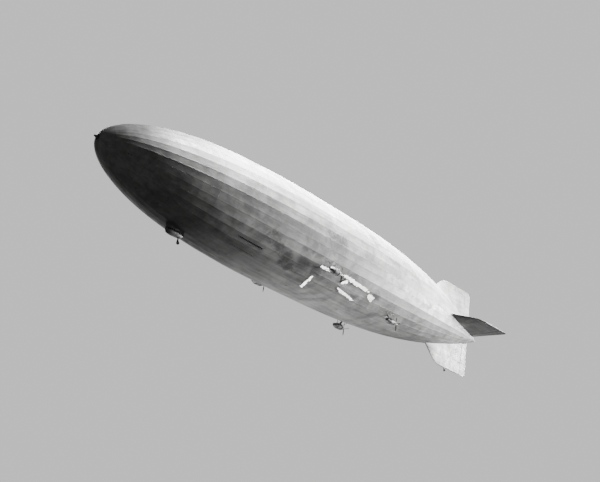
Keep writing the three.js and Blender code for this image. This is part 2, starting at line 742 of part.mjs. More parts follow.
function carFittings(car) {
  const helm = helmSolid();
  const under = TABLE.high - TABLE.top;
  const top = block([TABLE.long, TABLE.wide, TABLE.top], [0, 0, TABLE.high - TABLE.top / 2]);
  const legs = [[-1, -1], [-1, 1], [1, -1], [1, 1]].map(([x, y]) => block(
    [TABLE.leg, TABLE.leg, under],
    [x * (TABLE.long / 2 - TABLE.leg), y * (TABLE.wide / 2 - TABLE.leg), under / 2],
  ));
  const { half } = LADDER;
  const rungs = Array.from({ length: LADDER.rungs }, (_, i) => {
    const z = (i + 1) * LADDER.spacing;
    return rod([0, -half, z], [0, half, z], LADDER.rung);
  });
  const rails = [-half, half].map((y) => rod([0, y, 0], [0, y, LADDER.high], LADDER.rail));
  const made = {
    rudder_helm: add(car, "rudder_helm", helm, WALNUT),
    elevator_helm: add(car, "elevator_helm", helm, WALNUT),
    chart_table: add(car, "chart_table", joined([top, ...legs]), PLY),
    car_ladder: add(car, "car_ladder", joined([...rails, ...rungs]), DURALUMIN),
  };
  made.elevator_helm.rotation.z = Math.PI / 2;
  for (const [name, [x, y]] of Object.entries(FITTINGS)) {
    made[name].position.copy(metres(x, y, FLOOR + GAP));
  }
}

// Fixed leg with a blind hole for the fork's spindle: a round column or a long fairing.
function legSolid(leg, top) {
  const start = top - GAP;
  const hole = rod([0, 0, GEAR.legEnd - 0.1], [0, 0, SPINDLE.top + SPINDLE.play], SPINDLE.hole, 12);
  if (leg === "round") {
    const column = rod([0, 0, GEAR.legEnd], [0, 0, start], COLUMN.radius, 12);
    const flange = rod([0, 0, start - COLUMN.flangeThick], [0, 0, start], COLUMN.flange, 12);
    return joined([column, flange]).subtract(hole);
  }
  const ring = (z) => [
    ...FAIRING.map(([x, y]) => metres(x, y, z)),
    ...FAIRING.slice(1).reverse().map(([x, y]) => metres(x, -y, z)),
  ];
  return loft([ring(GEAR.legEnd), ring(start)]).subtract(hole);
}

// Crown, two raked arms, spindle and axle.
function forkSolid(axle) {
  const under = GEAR.crown - FORK.thick;
  const arms = [-1, 1].map((side) => {
    const outline = [
      [0.13, GEAR.crown],
      [-0.2, GEAR.crown],
      [-GEAR.trail - FORK.eye, axle],
      [-GEAR.trail - FORK.eye / 2, axle - FORK.eye],
      [-GEAR.trail + FORK.eye / 2, axle - FORK.eye],
      [-GEAR.trail + FORK.eye, axle],
    ];
    const ring = (y) => outline.map(([x, z]) => metres(x, y, z));
    const middle = side * FORK.arm;
    return loft([ring(middle - FORK.armThick / 2), ring(middle + FORK.armThick / 2)]);
  });
  return joined([
    rod([0, 0, under], [0, 0, GEAR.crown], FORK.crown, 12),
    block([0.33, 2 * FORK.arm + FORK.armThick, FORK.thick], [-0.035, 0, (under + GEAR.crown) / 2]),
    rod([0, 0, under], [0, 0, SPINDLE.top], SPINDLE.radius, 12),
    rod([-GEAR.trail, -FORK.arm, axle], [-GEAR.trail, FORK.arm, axle], FORK.axle, 12),
    ...arms,
  ]);
}

function tyreSolid() {
  const steps = 6;
  const arc = Array.from({ length: steps + 1 }, (_, i) => {
    const angle = Math.PI * (i / steps);
    return [GEAR.half * Math.cos(angle), lerp(TYRE.shoulder, GEAR.wheel, Math.sin(angle) ** TYRE.square)];
  });
  return turned([...arc, [-TYRE.bead, GEAR.rim], [TYRE.bead, GEAR.rim], arc[0]], TYRE.sides);
}

// Dished disc with its hub, bored for the axle.
function rimSolid() {
  const half = [
    [TYRE.hubHalf, FORK.axle + 0.012],
    [TYRE.hubHalf, 0.13],
    [0.08, 0.16],
    [0.06, 0.3],
    [0.9 * TYRE.bead, GEAR.rim - GAP],
  ];
  const other = half.map(([x, radius]) => [-x, radius]).reverse();
  return turned([...half, ...other, half[0]], TYRE.sides);
}

function landingGear({ name, station, top, leg }) {
  const axle = GEAR.ground + GEAR.wheel;
  const gear = groupAt(ship, stationX(station), 0, 0);
  add(gear, `${name}_leg`, legSolid(leg, top), STEEL);
  add(gear, `${name}_fork`, forkSolid(axle), STEEL);
  const wheel = groupAt(gear, -GEAR.trail, 0, axle);
  wheel.rotation.z = Math.PI / 2;
  add(wheel, `${name}_tyre`, tyreSolid(), RUBBER);
  add(wheel, `${name}_rim`, rimSolid(), DURALUMIN);
}

hullCovers();
noseAndTail();
tailSurfaces();
engineCars();
controlCar();
GEARS.forEach(landingGear);

export default ship;
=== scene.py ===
# Looks of the airship model. Shapes are worked out in metres of the real ship, with x forward of
# the centre of buoyancy, and SCALE takes them to the 1:10 model. Stations are metres forward of the
# stern tip. Clock angles are degrees from straight down, positive to port.
import json
import math
import random
from functools import partial

import bmesh
import bpy
import numpy as np
from mathutils import Matrix, Vector
from mathutils.geometry import tessellate_polygon

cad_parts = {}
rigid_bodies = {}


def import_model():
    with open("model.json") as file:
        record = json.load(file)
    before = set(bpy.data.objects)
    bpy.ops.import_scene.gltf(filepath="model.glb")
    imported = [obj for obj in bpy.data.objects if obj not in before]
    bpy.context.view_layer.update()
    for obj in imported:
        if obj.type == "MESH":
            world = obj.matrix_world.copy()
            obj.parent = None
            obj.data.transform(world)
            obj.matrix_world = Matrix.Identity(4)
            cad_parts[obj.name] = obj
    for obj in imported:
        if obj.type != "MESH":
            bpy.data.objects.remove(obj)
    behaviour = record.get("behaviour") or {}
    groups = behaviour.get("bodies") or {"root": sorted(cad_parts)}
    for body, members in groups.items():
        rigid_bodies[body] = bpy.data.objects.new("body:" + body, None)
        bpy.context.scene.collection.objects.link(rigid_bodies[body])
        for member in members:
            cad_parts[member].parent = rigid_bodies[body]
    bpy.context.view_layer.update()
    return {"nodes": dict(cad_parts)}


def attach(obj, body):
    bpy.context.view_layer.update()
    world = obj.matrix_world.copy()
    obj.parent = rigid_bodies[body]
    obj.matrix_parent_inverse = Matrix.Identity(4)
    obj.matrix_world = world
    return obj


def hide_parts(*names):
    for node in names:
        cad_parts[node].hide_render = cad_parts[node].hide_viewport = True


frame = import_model()

SCALE = 0.1
ORIGIN = 133.5
LENGTH = 245
RADIUS = 20.6
WIDEST = 131
BOW_POWER = 2.98
BOW_BLUNTNESS = 0.548
STERN_POWER = 2.45
SIDES = 36
HALF_SIDE = math.pi / SIDES
COVER = 0.1

# Camera
# The photograph's camera, in metres of the real ship: it stands on the ground, tilted up, and the
# ship's nose, heading and nose-up angle are given in its own level frame.
FOCAL_PX = 942.877
WIDTH_PX = 600
HORIZON_BELOW_MIDDLE_PX = 191
EYE = np.array([0, 0, 1.7])
NOSE = np.array([-65.999, 294.085, 95.921])
HEADING = 4.012
NOSE_UP = 0.203
SENSOR = 36

pitch = math.atan2(HORIZON_BELOW_MIDDLE_PX, FOCAL_PX)
ahead = np.array([
    math.cos(NOSE_UP) * math.cos(HEADING),
    math.cos(NOSE_UP) * math.sin(HEADING),
    math.sin(NOSE_UP),
])
port = np.array([-math.sin(HEADING), math.cos(HEADING), 0])
level_to_ship = np.array([ahead, port, np.cross(ahead, port)])
view_right = level_to_ship @ np.array([1, 0, 0])
view_up = level_to_ship @ np.array([0, -math.sin(pitch), math.cos(pitch)])
view_back = np.cross(view_right, view_up)
eye = (level_to_ship @ (EYE - NOSE) + np.array([LENGTH - ORIGIN, 0, 0])) * SCALE

camera = bpy.data.objects.new("camera", bpy.data.cameras.new("camera"))
bpy.context.scene.collection.objects.link(camera)
camera.data.sensor_width = SENSOR
camera.data.lens = SENSOR * FOCAL_PX / WIDTH_PX
camera.data.clip_start = 0.1
camera.data.clip_end = 5000
camera_turn = np.eye(4)
camera_turn[:3, :3] = np.array([view_right, view_up, view_back]).T
camera_turn[:3, 3] = eye
camera.matrix_world = Matrix(camera_turn.tolist())
bpy.context.scene.camera = camera


# Materials
class Nodes:
    """Short calls for building the nodes of one material, or of the world."""

    def __init__(self, owner, shader):
        self.owner = owner
        owner.use_nodes = True
        self.tree = owner.node_tree
        self.shader = self.tree.nodes[shader].inputs
        self.places = self.node("ShaderNodeTexCoord")

    def node(self, kind, inputs=None, **settings):
        made = self.tree.nodes.new(kind)
        for key, value in settings.items():
            setattr(made, key, value)
        for key, value in (inputs or {}).items():
            self.put(made.inputs[key], value)
        return made

    def put(self, socket, value):
        if isinstance(value, bpy.types.NodeSocket):
            self.tree.links.new(value, socket)
        else:
            socket.default_value = value

    def math(self, operation, one, two=0.0):
        return self.node("ShaderNodeMath", {0: one, 1: two}, operation=operation).outputs[0]

    def noise(self, scale, detail=4.0, roughness=0.55, stretch=None, distortion=0.0):
        vector = self.places.outputs["Object"]
        if stretch:
            inputs = {0: vector, 1: stretch}
            vector = self.node("ShaderNodeVectorMath", inputs, operation="MULTIPLY").outputs[0]
        sizes = {"Scale": scale, "Detail": detail, "Roughness": roughness, "Distortion": distortion}
        return self.node("ShaderNodeTexNoise", {"Vector": vector, **sizes}).outputs[0]

    def ramp(self, value, low, high, out_low=0.0, out_high=1.0):
        ends = {"From Min": low, "From Max": high, "To Min": out_low, "To Max": out_high}
        inputs = {"Value": value, **ends}
        return self.node("ShaderNodeMapRange", inputs, interpolation_type="SMOOTHSTEP").outputs[0]

    def tone(self, *ramps):
        """The product of ramps, each given by what ramp takes."""
        made = self.ramp(*ramps[0])
        for each in ramps[1:]:
            made = self.math("MULTIPLY", made, self.ramp(*each))
        return made

    def mix(self, factor, one, two, blend="MIX"):
        inputs = {0: factor, 6: one, 7: two}
        return self.node("ShaderNodeMix", inputs, data_type="RGBA", blend_type=blend).outputs[2]

    def scaled(self, colour, value):
        """A colour times a number that varies over the surface."""
        level = self.node("ShaderNodeCombineColor", {0: value, 1: value, 2: value}).outputs[0]
        return self.mix(1.0, colour, level, "MULTIPLY")

    def bump(self, height, distance, strength=1.0, under=None):
        inputs = {"Height": height, "Distance": distance, "Strength": strength}
        if under is not None:
            inputs["Normal"] = under
        return self.node("ShaderNodeBump", inputs).outputs[0]

    def finish(self, colour, normal=None, roughness=None):
        for name, value in (("Base Color", colour), ("Normal", normal), ("Roughness", roughness)):
            if value is not None:
                self.put(self.shader[name], value)
        return self.owner


def material_nodes(name, metallic=0.0, roughness=0.5):
    n = Nodes(bpy.data.materials.new(name), "Principled BSDF")
    n.put(n.shader["Metallic"], metallic)
    n.put(n.shader["Roughness"], roughness)
    return n


def grey(value, tint=0.0):
    """A grey, warmer for a positive tint and cooler for a negative one."""
    return (value * (1 + tint), value, value * (1 - tint), 1)


def seam_lines(n, half_across, half_along):
    """1 on a longitudinal or a rib, 1 on a ring or a spar, and a random number for each panel."""
    split = n.node("ShaderNodeSeparateXYZ", {0: n.places.outputs["UV"]})
    lines = []
    for place, half in ((split.outputs[1], half_across), (split.outputs[0], half_along)):
        off = n.math("SUBTRACT", n.math("FRACT", n.math("ADD", place, 0.5)), 0.5)
        lines.append(n.ramp(n.math("ABSOLUTE", off), half, half * 0.35))
    whole = {i: n.math("FLOOR", split.outputs[i]) for i in (0, 1)}
    number = n.node("ShaderNodeCombineXYZ", whole).outputs[0]
    panel = n.node("ShaderNodeTexWhiteNoise", {"Vector": number}, noise_dimensions="2D")
    return *lines, panel.outputs[0]


# Painted smoke shadows, darker patches on the port flank: station, clock, and half lengths along and round
# the hull
SMOKE_SHADOWS = [
    (173.5, 57, 4.5, 9), (168.5, 50, 4, 9), (163, 43, 4.5, 9), (158, 36, 4, 7), (150, 68, 9, 9),
    (141, 84, 7, 15), (139, 62, 5, 7), (126, 60, 6, 5), (110, 54, 6, 7), (120, 40, 6, 4),
    (146, 46, 3, 7),
]


def smoke_shadowed(n, rough_edge):
    """1 in the painted smoke shadows and 0 elsewhere, with uneven edges."""
    split = n.node("ShaderNodeSeparateXYZ", {0: n.places.outputs["Object"]})
    clock = n.math("ARCTAN2", split.outputs[1], n.math("MULTIPLY", split.outputs[2], -1))

    def far(value, middle, half):
        share = n.math("DIVIDE", n.math("SUBTRACT", value, middle), half)
        return n.math("POWER", n.math("ABSOLUTE", share), 2.0)

    total = 0.0
    for station, middle, long, wide in SMOKE_SHADOWS:
        lengthwise = far(split.outputs[0], (station - ORIGIN) * SCALE, long * SCALE)
        around = far(clock, math.radians(middle), math.radians(wide))
        spot = n.ramp(n.math("ADD", n.math("ADD", lengthwise, around), rough_edge), 1.7, -0.2)
        total = n.math("MAXIMUM", total, spot)
    return total


def cover_material():
    """Doped cotton: a tone for each panel, streaks along the hull, broad mottling, laced seams, and painted
    smoke shadows on the port flank.
    """
    n = material_nodes("doped_cover", metallic=0.12)
    ribs, rings, panel = seam_lines(n, 0.016, 0.014)
    streaks = n.noise(1, 6, 0.6, stretch=(0.3, 5, 5))
    fine = n.noise(1, 5, 0.6, stretch=(1.5, 26, 26))
    grime = n.noise(0.55, 7, 0.6, distortion=1.6)
    spots = n.noise(3.2, 6, 0.65, distortion=0.6)
    # Painted smoke shadows: patches of the port flank darkened to about half their tone.
    smoke_shadow = smoke_shadowed(n, n.ramp(spots, 0.3, 0.7, -0.5, 0.9))
    tone = n.tone(
        (streaks, 0.3, 0.7, 0.78, 1.2), (fine, 0.3, 0.7, 0.9, 1.08), (grime, 0.33, 0.62, 0.66, 1.12),
        (spots, 0.35, 0.65, 0.86, 1.08), (panel, 0, 1, 0.93, 1.06), (ribs, 0, 1, 1, 0.72),
        (rings, 0, 1, 1, 0.84), (smoke_shadow, 0, 1, 1, 0.52),
    )
    weave = n.bump(n.noise(420, 2), 0.0006, 0.35)
    ripple = n.bump(n.noise(1, 4, 0.6, stretch=(2.5, 14, 14)), 0.004, 0.5, weave)
    laced = n.bump(n.math("MAXIMUM", ribs, n.math("MULTIPLY", rings, 0.6)), 0.003, 0.8, ripple)
    return n.finish(n.scaled(grey(0.33, 0.01), tone), laced, n.ramp(spots, 0.3, 0.7, 0.42, 0.62))


def linen_material(name, value, wrinkle):
    """Bare cloth: pale, matt and creased, with a weave."""
    n = material_nodes(name, roughness=0.85)
    stain = n.ramp(n.noise(2.4, 5, 0.6), 0.35, 0.7)
    thread = n.noise(160, 3, 0.6)
    colour = n.mix(stain, grey(value, 0.01), grey(value * 0.84, 0.03))
    weave = n.bump(thread, 0.0006, 0.5)
    creases = n.bump(n.noise(5, 5, 0.6, distortion=1.2), wrinkle, 0.7, weave)
    return n.finish(n.scaled(colour, n.ramp(thread, 0.3, 0.7, 0.9, 1.05)), creases)


def metal_material(name, value, metallic, low, high, dirt=0.55, tint=0.0, wear=0.35):
    """Bare or painted metal: dirt in broad stains, scuffs, and brighter worn edges."""
    n = material_nodes(name, metallic=metallic)
    stain = n.noise(5, 6, 0.62, distortion=0.5)
    run = n.noise(1, 5, 0.6, stretch=(14, 14, 3))
    scuff = n.noise(60, 4, 0.6)
    tone = n.tone(
        (stain, 0.35, 0.68, dirt, 1.08), (run, 0.35, 0.7, 0.88, 1.04), (scuff, 0.35, 0.7, 0.93, 1.04),
    )
    point = n.node("ShaderNodeNewGeometry").outputs["Pointiness"]
    edge = n.tone((point, 0.52, 0.6), (scuff, 0.35, 0.6, 0, wear))
    worn = grey(min(0.7, value * 2 + 0.12), tint)
    colour = n.mix(edge, n.scaled(grey(value, tint), tone), worn)
    return n.finish(colour, n.bump(scuff, 0.0008, 0.3), n.ramp(stain, 0.3, 0.7, high, low))


def wood_material(name, one, two, rings, polish):
    """Laminated or plain wood: layers, long grain and darker pores."""
    n = material_nodes(name, roughness=polish)
    layer = n.noise(1, 3, 0.5, stretch=(rings, rings * 0.3, rings * 0.3), distortion=0.4)
    grain = n.noise(1, 6, 0.6, stretch=(120, 18, 6))
    colour = n.mix(n.ramp(layer, 0.4, 0.6), (*one, 1), (*two, 1))
    return n.finish(n.scaled(colour, n.ramp(grain, 0.35, 0.7, 0.75, 1.12)), n.bump(grain, 0.0005, 0.4))


def tyre_material():
    n = material_nodes("tyre_rubber", roughness=0.82)
    dust = n.noise(30, 5, 0.6)
    colour = n.mix(n.ramp(dust, 0.45, 0.75), grey(0.022), grey(0.07, 0.05))
    return n.finish(colour, n.bump(n.noise(240, 3), 0.0005, 0.5), n.ramp(dust, 0.4, 0.7, 0.9, 0.7))


def glass_material():
    """Clear pane, a little dusty, that shows what is behind it."""
    n = material_nodes("window_glass", roughness=0.06)
    dust = n.noise(7, 5, 0.6)
    n.put(n.shader["IOR"], 1.45)
    n.put(n.shader["Transmission Weight"], 0.9)
    colour = n.mix(n.ramp(dust, 0.4, 0.8), grey(0.55, -0.03), grey(0.42, 0.02))
    return n.finish(colour, roughness=n.ramp(dust, 0.4, 0.75, 0.04, 0.2))


def pane_material():
    """Window pane backed by a dark room."""
    n = material_nodes("dark_pane", roughness=0.1)
    dust = n.noise(9, 5, 0.6)
    colour = n.mix(n.ramp(dust, 0.35, 0.75), grey(0.018, -0.1), grey(0.05, 0.02))
    return n.finish(colour, roughness=n.ramp(dust, 0.4, 0.75, 0.06, 0.3))


def lens_material(name, colour):
    n = material_nodes(name, roughness=0.15)
    ribs = n.noise(90, 2)
    colour = n.scaled((*colour, 1), n.ramp(ribs, 0.3, 0.7, 0.8, 1.1))
    return n.finish(colour, n.bump(ribs, 0.0008, 0.4))


COVER_CLOTH = cover_material()
LINEN = linen_material("torn_linen", 0.9, 0.003)
CELL = linen_material("gas_cell_cloth", 0.8, 0.02)
DURALUMIN = metal_material("duralumin", 0.46, 0.75, 0.3, 0.5, 0.7)
PAINT = metal_material("silver_paint", 0.27, 0.2, 0.4, 0.55, 0.82, wear=0.08)
STEEL = metal_material("dark_steel", 0.09, 0.45, 0.4, 0.6, 0.8, wear=0.1)
BRIGHT = metal_material("bright_steel", 0.5, 0.95, 0.22, 0.4, 0.75)
IRON = metal_material("engine_iron", 0.05, 0.5, 0.45, 0.7, 0.6)
BRASS = metal_material("brass", 0.34, 0.9, 0.28, 0.45, 0.7, 0.12)
WALNUT = wood_material("laminated_walnut", (0.06, 0.037, 0.024), (0.12, 0.078, 0.052), 60, 0.32)
PLYWOOD = wood_material("plywood", (0.38, 0.32, 0.25), (0.27, 0.22, 0.17), 12, 0.55)
RUBBER = tyre_material()
GLASS = glass_material()
PANE = pane_material()
RED = lens_material("red_lens", (0.4, 0.02, 0.015))
GREEN = lens_material("green_lens", (0.02, 0.3, 0.08))
CLEAR = lens_material("clear_lens", (0.75, 0.75, 0.72))


# Shapes
def spin(axis, angle):
    return np.array(Matrix.Rotation(angle, 3, axis))


def outward(angle):
    """Away from the hull's axis at a clock angle."""
    return np.array([0, math.sin(angle), -math.cos(angle)])


def around(angle):
    """Round the hull's axis at a clock angle, towards the port side when at the keel."""
    return np.array([0, math.cos(angle), math.sin(angle)])


def unit(vector):
    return vector / np.linalg.norm(vector)


def circle(count, radius=1.0, phase=0.0):
    """Points round a circle, the first one a share of a step on."""
    angles = 2 * math.pi * (np.arange(count) + phase) / count
    return [(radius * math.cos(a), radius * math.sin(a)) for a in angles]


def grid_faces(rows, columns, wrap):
    faces = []
    for i in range(rows - 1):
        for j in range(columns if wrap else columns - 1):
            k = (j + 1) % columns
            one, two = i * columns, (i + 1) * columns
            faces.append((one + j, one + k, two + k, two + j))
    return faces


def loft(rings):
    """A closed skin through rings of points, with a face over each end."""
    rings = np.array(rings, float)
    rows, count = rings.shape[:2]
    caps = [tuple(range(count)), tuple(range((rows - 1) * count, rows * count))]
    return rings.reshape(-1, 3), grid_faces(rows, count, True) + caps


def closed_rings(rings):
    """A closed skin through rings of points, with the last ring joined to the first."""
    rings = np.array(rings, float)
    rows, count = rings.shape[:2]
    last = (rows - 1) * count
    seam = [(last + j, last + (j + 1) % count, (j + 1) % count, j) for j in range(count)]
    return rings.reshape(-1, 3), grid_faces(rows, count, True) + seam


def sheet(outer, inner):
    """A closed sheet between two grids of points."""
    rows, columns = outer.shape[:2]
    grid = grid_faces(rows, columns, False)
    shift = rows * columns
    border = (
        list(range(columns))
        + [(i + 1) * columns - 1 for i in range(1, rows)]
        + [(rows - 1) * columns + j for j in range(columns - 2, -1, -1)]
        + [i * columns for i in range(rows - 2, 0, -1)]
    )
    faces = grid + [tuple(i + shift for i in face[::-1]) for face in grid]
    faces += [(a, b, b + shift, a + shift) for a, b in zip(border, border[1:] + border[:1])]
    return np.concatenate([outer.reshape(-1, 3), inner.reshape(-1, 3)]), faces


def lathe(profile, sides=48, axis="X"):
    """A body of revolution about an axis from [along, radius] pairs; it is closed if the profile is."""
    looped = profile[0] == profile[-1]
    outline = profile[:-1] if looped else profile
    points, rings = [], []
    for x, radius in outline:
        if radius < 1e-6:
            rings.append([len(points)] * sides)
            points.append((x, 0, 0))
            continue
        rings.append(list(range(len(points), len(points) + sides)))
        points.extend((x, y, z) for y, z in circle(sides, radius))
    faces = []
    for one, two in zip(rings, rings[1:] + ([rings[0]] if looped else [])):
        for i in range(sides):
            j = (i + 1) % sides
            face = tuple(dict.fromkeys((one[i], one[j], two[j], two[i])))
            if len(face) > 2:
                faces.append(face)
    if not looped:
        faces += [tuple(ring) for ring in (rings[0], rings[-1]) if ring[0] != ring[1]]
    turns = {"X": np.eye(3), "Y": spin("Z", math.pi / 2), "Z": spin("Y", -math.pi / 2)}
    return np.array(points, float) @ turns[axis].T, faces


def rod(start, end, radius, sides=10, wide=1.0, taper=1.0):
    """A straight bar with closed ends; wide stretches its section along the hull."""
    a, b = np.array(start, float), np.array(end, float)
    run = unit(b - a)
    for guess in ((1, 0, 0), (0, 0, 1)):
        u = np.array(guess, float) - np.dot(guess, run) * run
        if np.linalg.norm(u) > 0.1:
            break
    u = unit(u)
    v = np.cross(run, u)
    ring = np.array([wide * c * u + s * v for c, s in circle(sides, radius)])
    return loft([a + ring, b + ring * taper])


def tube(path, radius, sides=8, looped=False):
    """A round tube along a path of points, closed at its ends or into itself."""
    path = np.array(path, float)
    after = np.roll(path, -1, 0) if looped else np.vstack([path[1:], 2 * path[-1] - path[-2]])
    before = np.roll(path, 1, 0) if looped else np.vstack([2 * path[0] - path[1], path[:-1]])
    tangents = [unit(run) for run in after - before]
    u = np.cross(tangents[0], (0.1, 0.2, 1))
    rings = []
    for point, tangent in zip(path, tangents):
        u = unit(u - np.dot(u, tangent) * tangent)
        v = np.cross(tangent, u)
        rings.append([point + c * u + s * v for c, s in circle(sides, radius)])
    return closed_rings(rings) if looped else loft(rings)


def box_topology():
    """Faces of a box with cut-off edges: three points at each of eight corners, one for each axis."""
    corners = [(x, y, z) for x in (-1, 1) for y in (-1, 1) for z in (-1, 1)]
    number = {(corner, axis): 3 * i + axis for i, corner in enumerate(corners) for axis in range(3)}
    faces = []
    for axis in range(3):
        one, two = [other for other in range(3) if other != axis]

        def point(side, a, b, face_axis):
            corner = [0, 0, 0]
            corner[axis], corner[one], corner[two] = side, a, b
            return number[tuple(corner), face_axis]

        signs = ((-1, -1), (1, -1), (1, 1), (-1, 1))
        faces += [tuple(point(side, a, b, axis) for a, b in signs) for side in (-1, 1)]
        edge = ((-1, one), (1, one), (1, two), (-1, two))
        faces += [tuple(point(end, a, b, way) for end, way in edge) for a in (-1, 1) for b in (-1, 1)]
    faces += [tuple(number[corner, axis] for axis in range(3)) for corner in corners]
    return corners, faces


BOX_CORNERS, BOX_FACES = box_topology()


def block(sizes, centre=(0, 0, 0), edge=0.02):
    """A box whose edges are cut off."""
    half = np.array(sizes, float) / 2
    edge = min(edge, 0.9 * half.min())
    reach = half - edge * (1 - np.eye(3))
    points = np.array(BOX_CORNERS)[:, None] * reach[None]
    return points.reshape(-1, 3) + np.array(centre, float), BOX_FACES


def moved(shape, offset=(0, 0, 0), turn=np.eye(3)):
    points, faces = shape
    return points @ turn.T + np.array(offset, float), faces


def spline(points, steps):
    """Points on a smooth curve through the given ones."""
    points = np.array(points, float)
    padded = np.vstack([2 * points[0] - points[1], points, 2 * points[-1] - points[-2]])
    made = []
    for p0, p1, p2, p3 in zip(padded, padded[1:], padded[2:], padded[3:]):
        for t in np.arange(steps) / steps:
            made.append(0.5 * (
                2 * p1 + (p2 - p0) * t + (2 * p0 - 5 * p1 + 4 * p2 - p3) * t**2
                + (3 * p1 - p0 - 3 * p2 + p3) * t**3
            ))
    return np.vstack([made, points[-1]])


class Form:
    """Shapes gathered into one piece."""

    def __init__(self):
        self.points, self.faces, self.looks, self.uvs = [], [], [], []
        self.count = 0

    def add(self, shape, look=0, uvs=None, place=(0, 0, 0), turn=np.eye(3)):
        points, faces = moved(shape, place, turn)
        self.points.append(points)
        self.faces.extend(tuple(i + self.count for i in face) for face in faces)
        self.looks.extend([look] * len(faces))
        self.uvs.extend(uvs or [None] * len(faces))
        self.count += len(points)
        return self

    def box(self, sizes, centre=(0, 0, 0), edge=0.02, look=0, **placed):
        return self.add(block(sizes, centre, edge), look, **placed)

    def bar(self, start, end, radius, sides=10, look=0, wide=1.0, taper=1.0, **placed):
        return self.add(rod(start, end, radius, sides, wide, taper), look, **placed)

    def turned(self, profile, sides=48, look=0, axis="X", **placed):
        return self.add(lathe(profile, sides, axis), look, **placed)

    def pipe(self, path, radius, sides=8, look=0, looped=False):
        return self.add(tube(path, radius, sides, looped), look)

    def mesh(self, name, looks, sharp):
        mesh = bpy.data.meshes.new(name)
        mesh.from_pydata((np.vstack(self.points) * SCALE).tolist(), [], self.faces)
        mesh.polygons.foreach_set("material_index", self.looks)
        mesh.polygons.foreach_set("use_smooth", [True] * len(self.faces))
        if any(self.uvs):
            layer = mesh.uv_layers.new(name="panels")
            flat = []
            for face, uv in zip(self.faces, self.uvs):
                flat.extend(uv or [(0.5, 0.5)] * len(face))
            layer.data.foreach_set("uv", np.array(flat, np.float32).ravel())
        shaped = bmesh.new()
        shaped.from_mesh(mesh)
        bmesh.ops.recalc_face_normals(shaped, faces=shaped.faces)
        shaped.to_mesh(mesh)
        shaped.free()
        mesh.set_sharp_from_angle(angle=math.radians(sharp))
        for look in looks:
            mesh.materials.append(look)
        return mesh

    def piece(self, name, body, slot, looks, replaces=(), place=(0, 0, 0), sharp=32):
        return put_piece(name, self.mesh(name, looks, sharp), body, replaces, place)


def put_piece(name, mesh, body, replaces=(), place=(0, 0, 0), angle=0.0):
    piece = bpy.data.objects.new(name, mesh)
    bpy.context.scene.collection.objects.link(piece)
    piece.matrix_world = Matrix.Translation(Vector(place) * SCALE) @ Matrix.Rotation(angle, 4, "Z")
    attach(piece, body)
    if replaces:
        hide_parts(*replaces)
    return piece


def repaint(node, look):
    """Gives a look to a solid of the CAD that shows as it is."""
    materials = frame["nodes"][node].data.materials
    materials.clear()
    materials.append(look)


def along(station):
    return station - ORIGIN


# Hull
RINGS = [
    8, 21, 33.5, 47, 62, 77, 92, 107, 123.5, 140, 156.5, 173.5, 188, 203, 214, 224.5, 231, 238, 241.5,
]
STRAIGHT = (173.5, 188)  # the bay whose longitudinals are straight, for stairs and windows
FACET_STEPS = 5
AROUND = SIDES * FACET_STEPS
SAG = 0.009  # of a facet's width
ROW_STEP = 1.3
THREE_BAYS, TWO_BAYS = 9, 5  # lengths above which main rings have that many bays between them
TAUT_FACETS = (0, 1, 4)  # counted from the keel: those of the straight bay that don't sag
TAUT_FADE = 9  # distance from the straight bay at which they sag in full


def hull_radius(station):
    """Distance of the hull's corners from its axis."""
    s = np.asarray(station, float)
    forward = np.clip((s - WIDEST) / (LENGTH - WIDEST), 0, 1)
    behind = np.clip((WIDEST - s) / WIDEST, 0, 1)
    bow = RADIUS * np.maximum(0, 1 - forward**BOW_POWER)**BOW_BLUNTNESS
    return np.where(s > WIDEST, bow, RADIUS * (1 - behind**STERN_POWER))


def skin_radius(station):
    """As hull_radius, with the longitudinals straight where stairs and windows are."""
    s = np.asarray(station, float)
    chord = np.interp(s, STRAIGHT, hull_radius(STRAIGHT))
    return np.where((s > STRAIGHT[0]) & (s < STRAIGHT[1]), chord, hull_radius(s))


def flat_radius(station):
    """Distance of the middle of a flat facet from the hull's axis."""
    return float(skin_radius(station)) * math.cos(HALF_SIDE)


def hull_slope(station):
    step = 0.05
    return (skin_radius(station + step) - skin_radius(station - step)) / (2 * step)


def bays():
    """Stations of all rings, with lighter ones between the main ones, aft to forward."""
    made = [RINGS[0]]
    for low, high in zip(RINGS, RINGS[1:]):
        parts = 3 if high - low > THREE_BAYS else 2 if high - low > TWO_BAYS else 1
        made += [low + (high - low) * i / parts for i in range(1, parts + 1)]
    return made


BAYS = bays()


def bay_number(station):
    return np.interp(station, BAYS, np.arange(len(BAYS)))


def cover_rows(low, high):
    """Stations of grid rows from one main ring to another."""
    inside = [s for s in BAYS if low - 0.01 <= s <= high + 0.01]
    rows = []
    for a, b in zip(inside, inside[1:]):
        steps = max(4, round((b - a) / ROW_STEP))
        rows += [a + (b - a) * i / steps for i in range(steps)]
    return np.array(rows + [inside[-1]])


def cover_points(stations, depth, sag=SAG):
    """Grid of points on the cover, a depth below its outer face: a row for each station."""
    s = np.asarray(stations, float)[:, None]
    radius = skin_radius(s) - depth * np.hypot(1, hull_slope(s))
    facet = np.repeat(np.arange(SIDES), FACET_STEPS)[None, :]
    share = np.tile(np.arange(FACET_STEPS) * 2 / FACET_STEPS - 1, SIDES)[None, :]
    pull = 0.4 + 0.6 * np.abs(np.sin(math.pi * bay_number(s)))
    from_keel = np.minimum(facet, SIDES - facet)
    outside = np.maximum(STRAIGHT[0] - s, s - STRAIGHT[1])
    held = np.where(np.isin(from_keel, TAUT_FACETS), np.clip(outside / TAUT_FADE, 0, 1), 1)
    side = radius * math.sin(HALF_SIDE)
    out = radius * math.cos(HALF_SIDE) - held * sag * 2 * side * pull * (1 - share**2)
    side = side * share
    middle = 2 * HALF_SIDE * facet
    y = out * np.sin(middle) + side * np.cos(middle)
    z = -out * np.cos(middle) + side * np.sin(middle)
    return np.stack([np.broadcast_to(along(s), y.shape), y, z], axis=2)


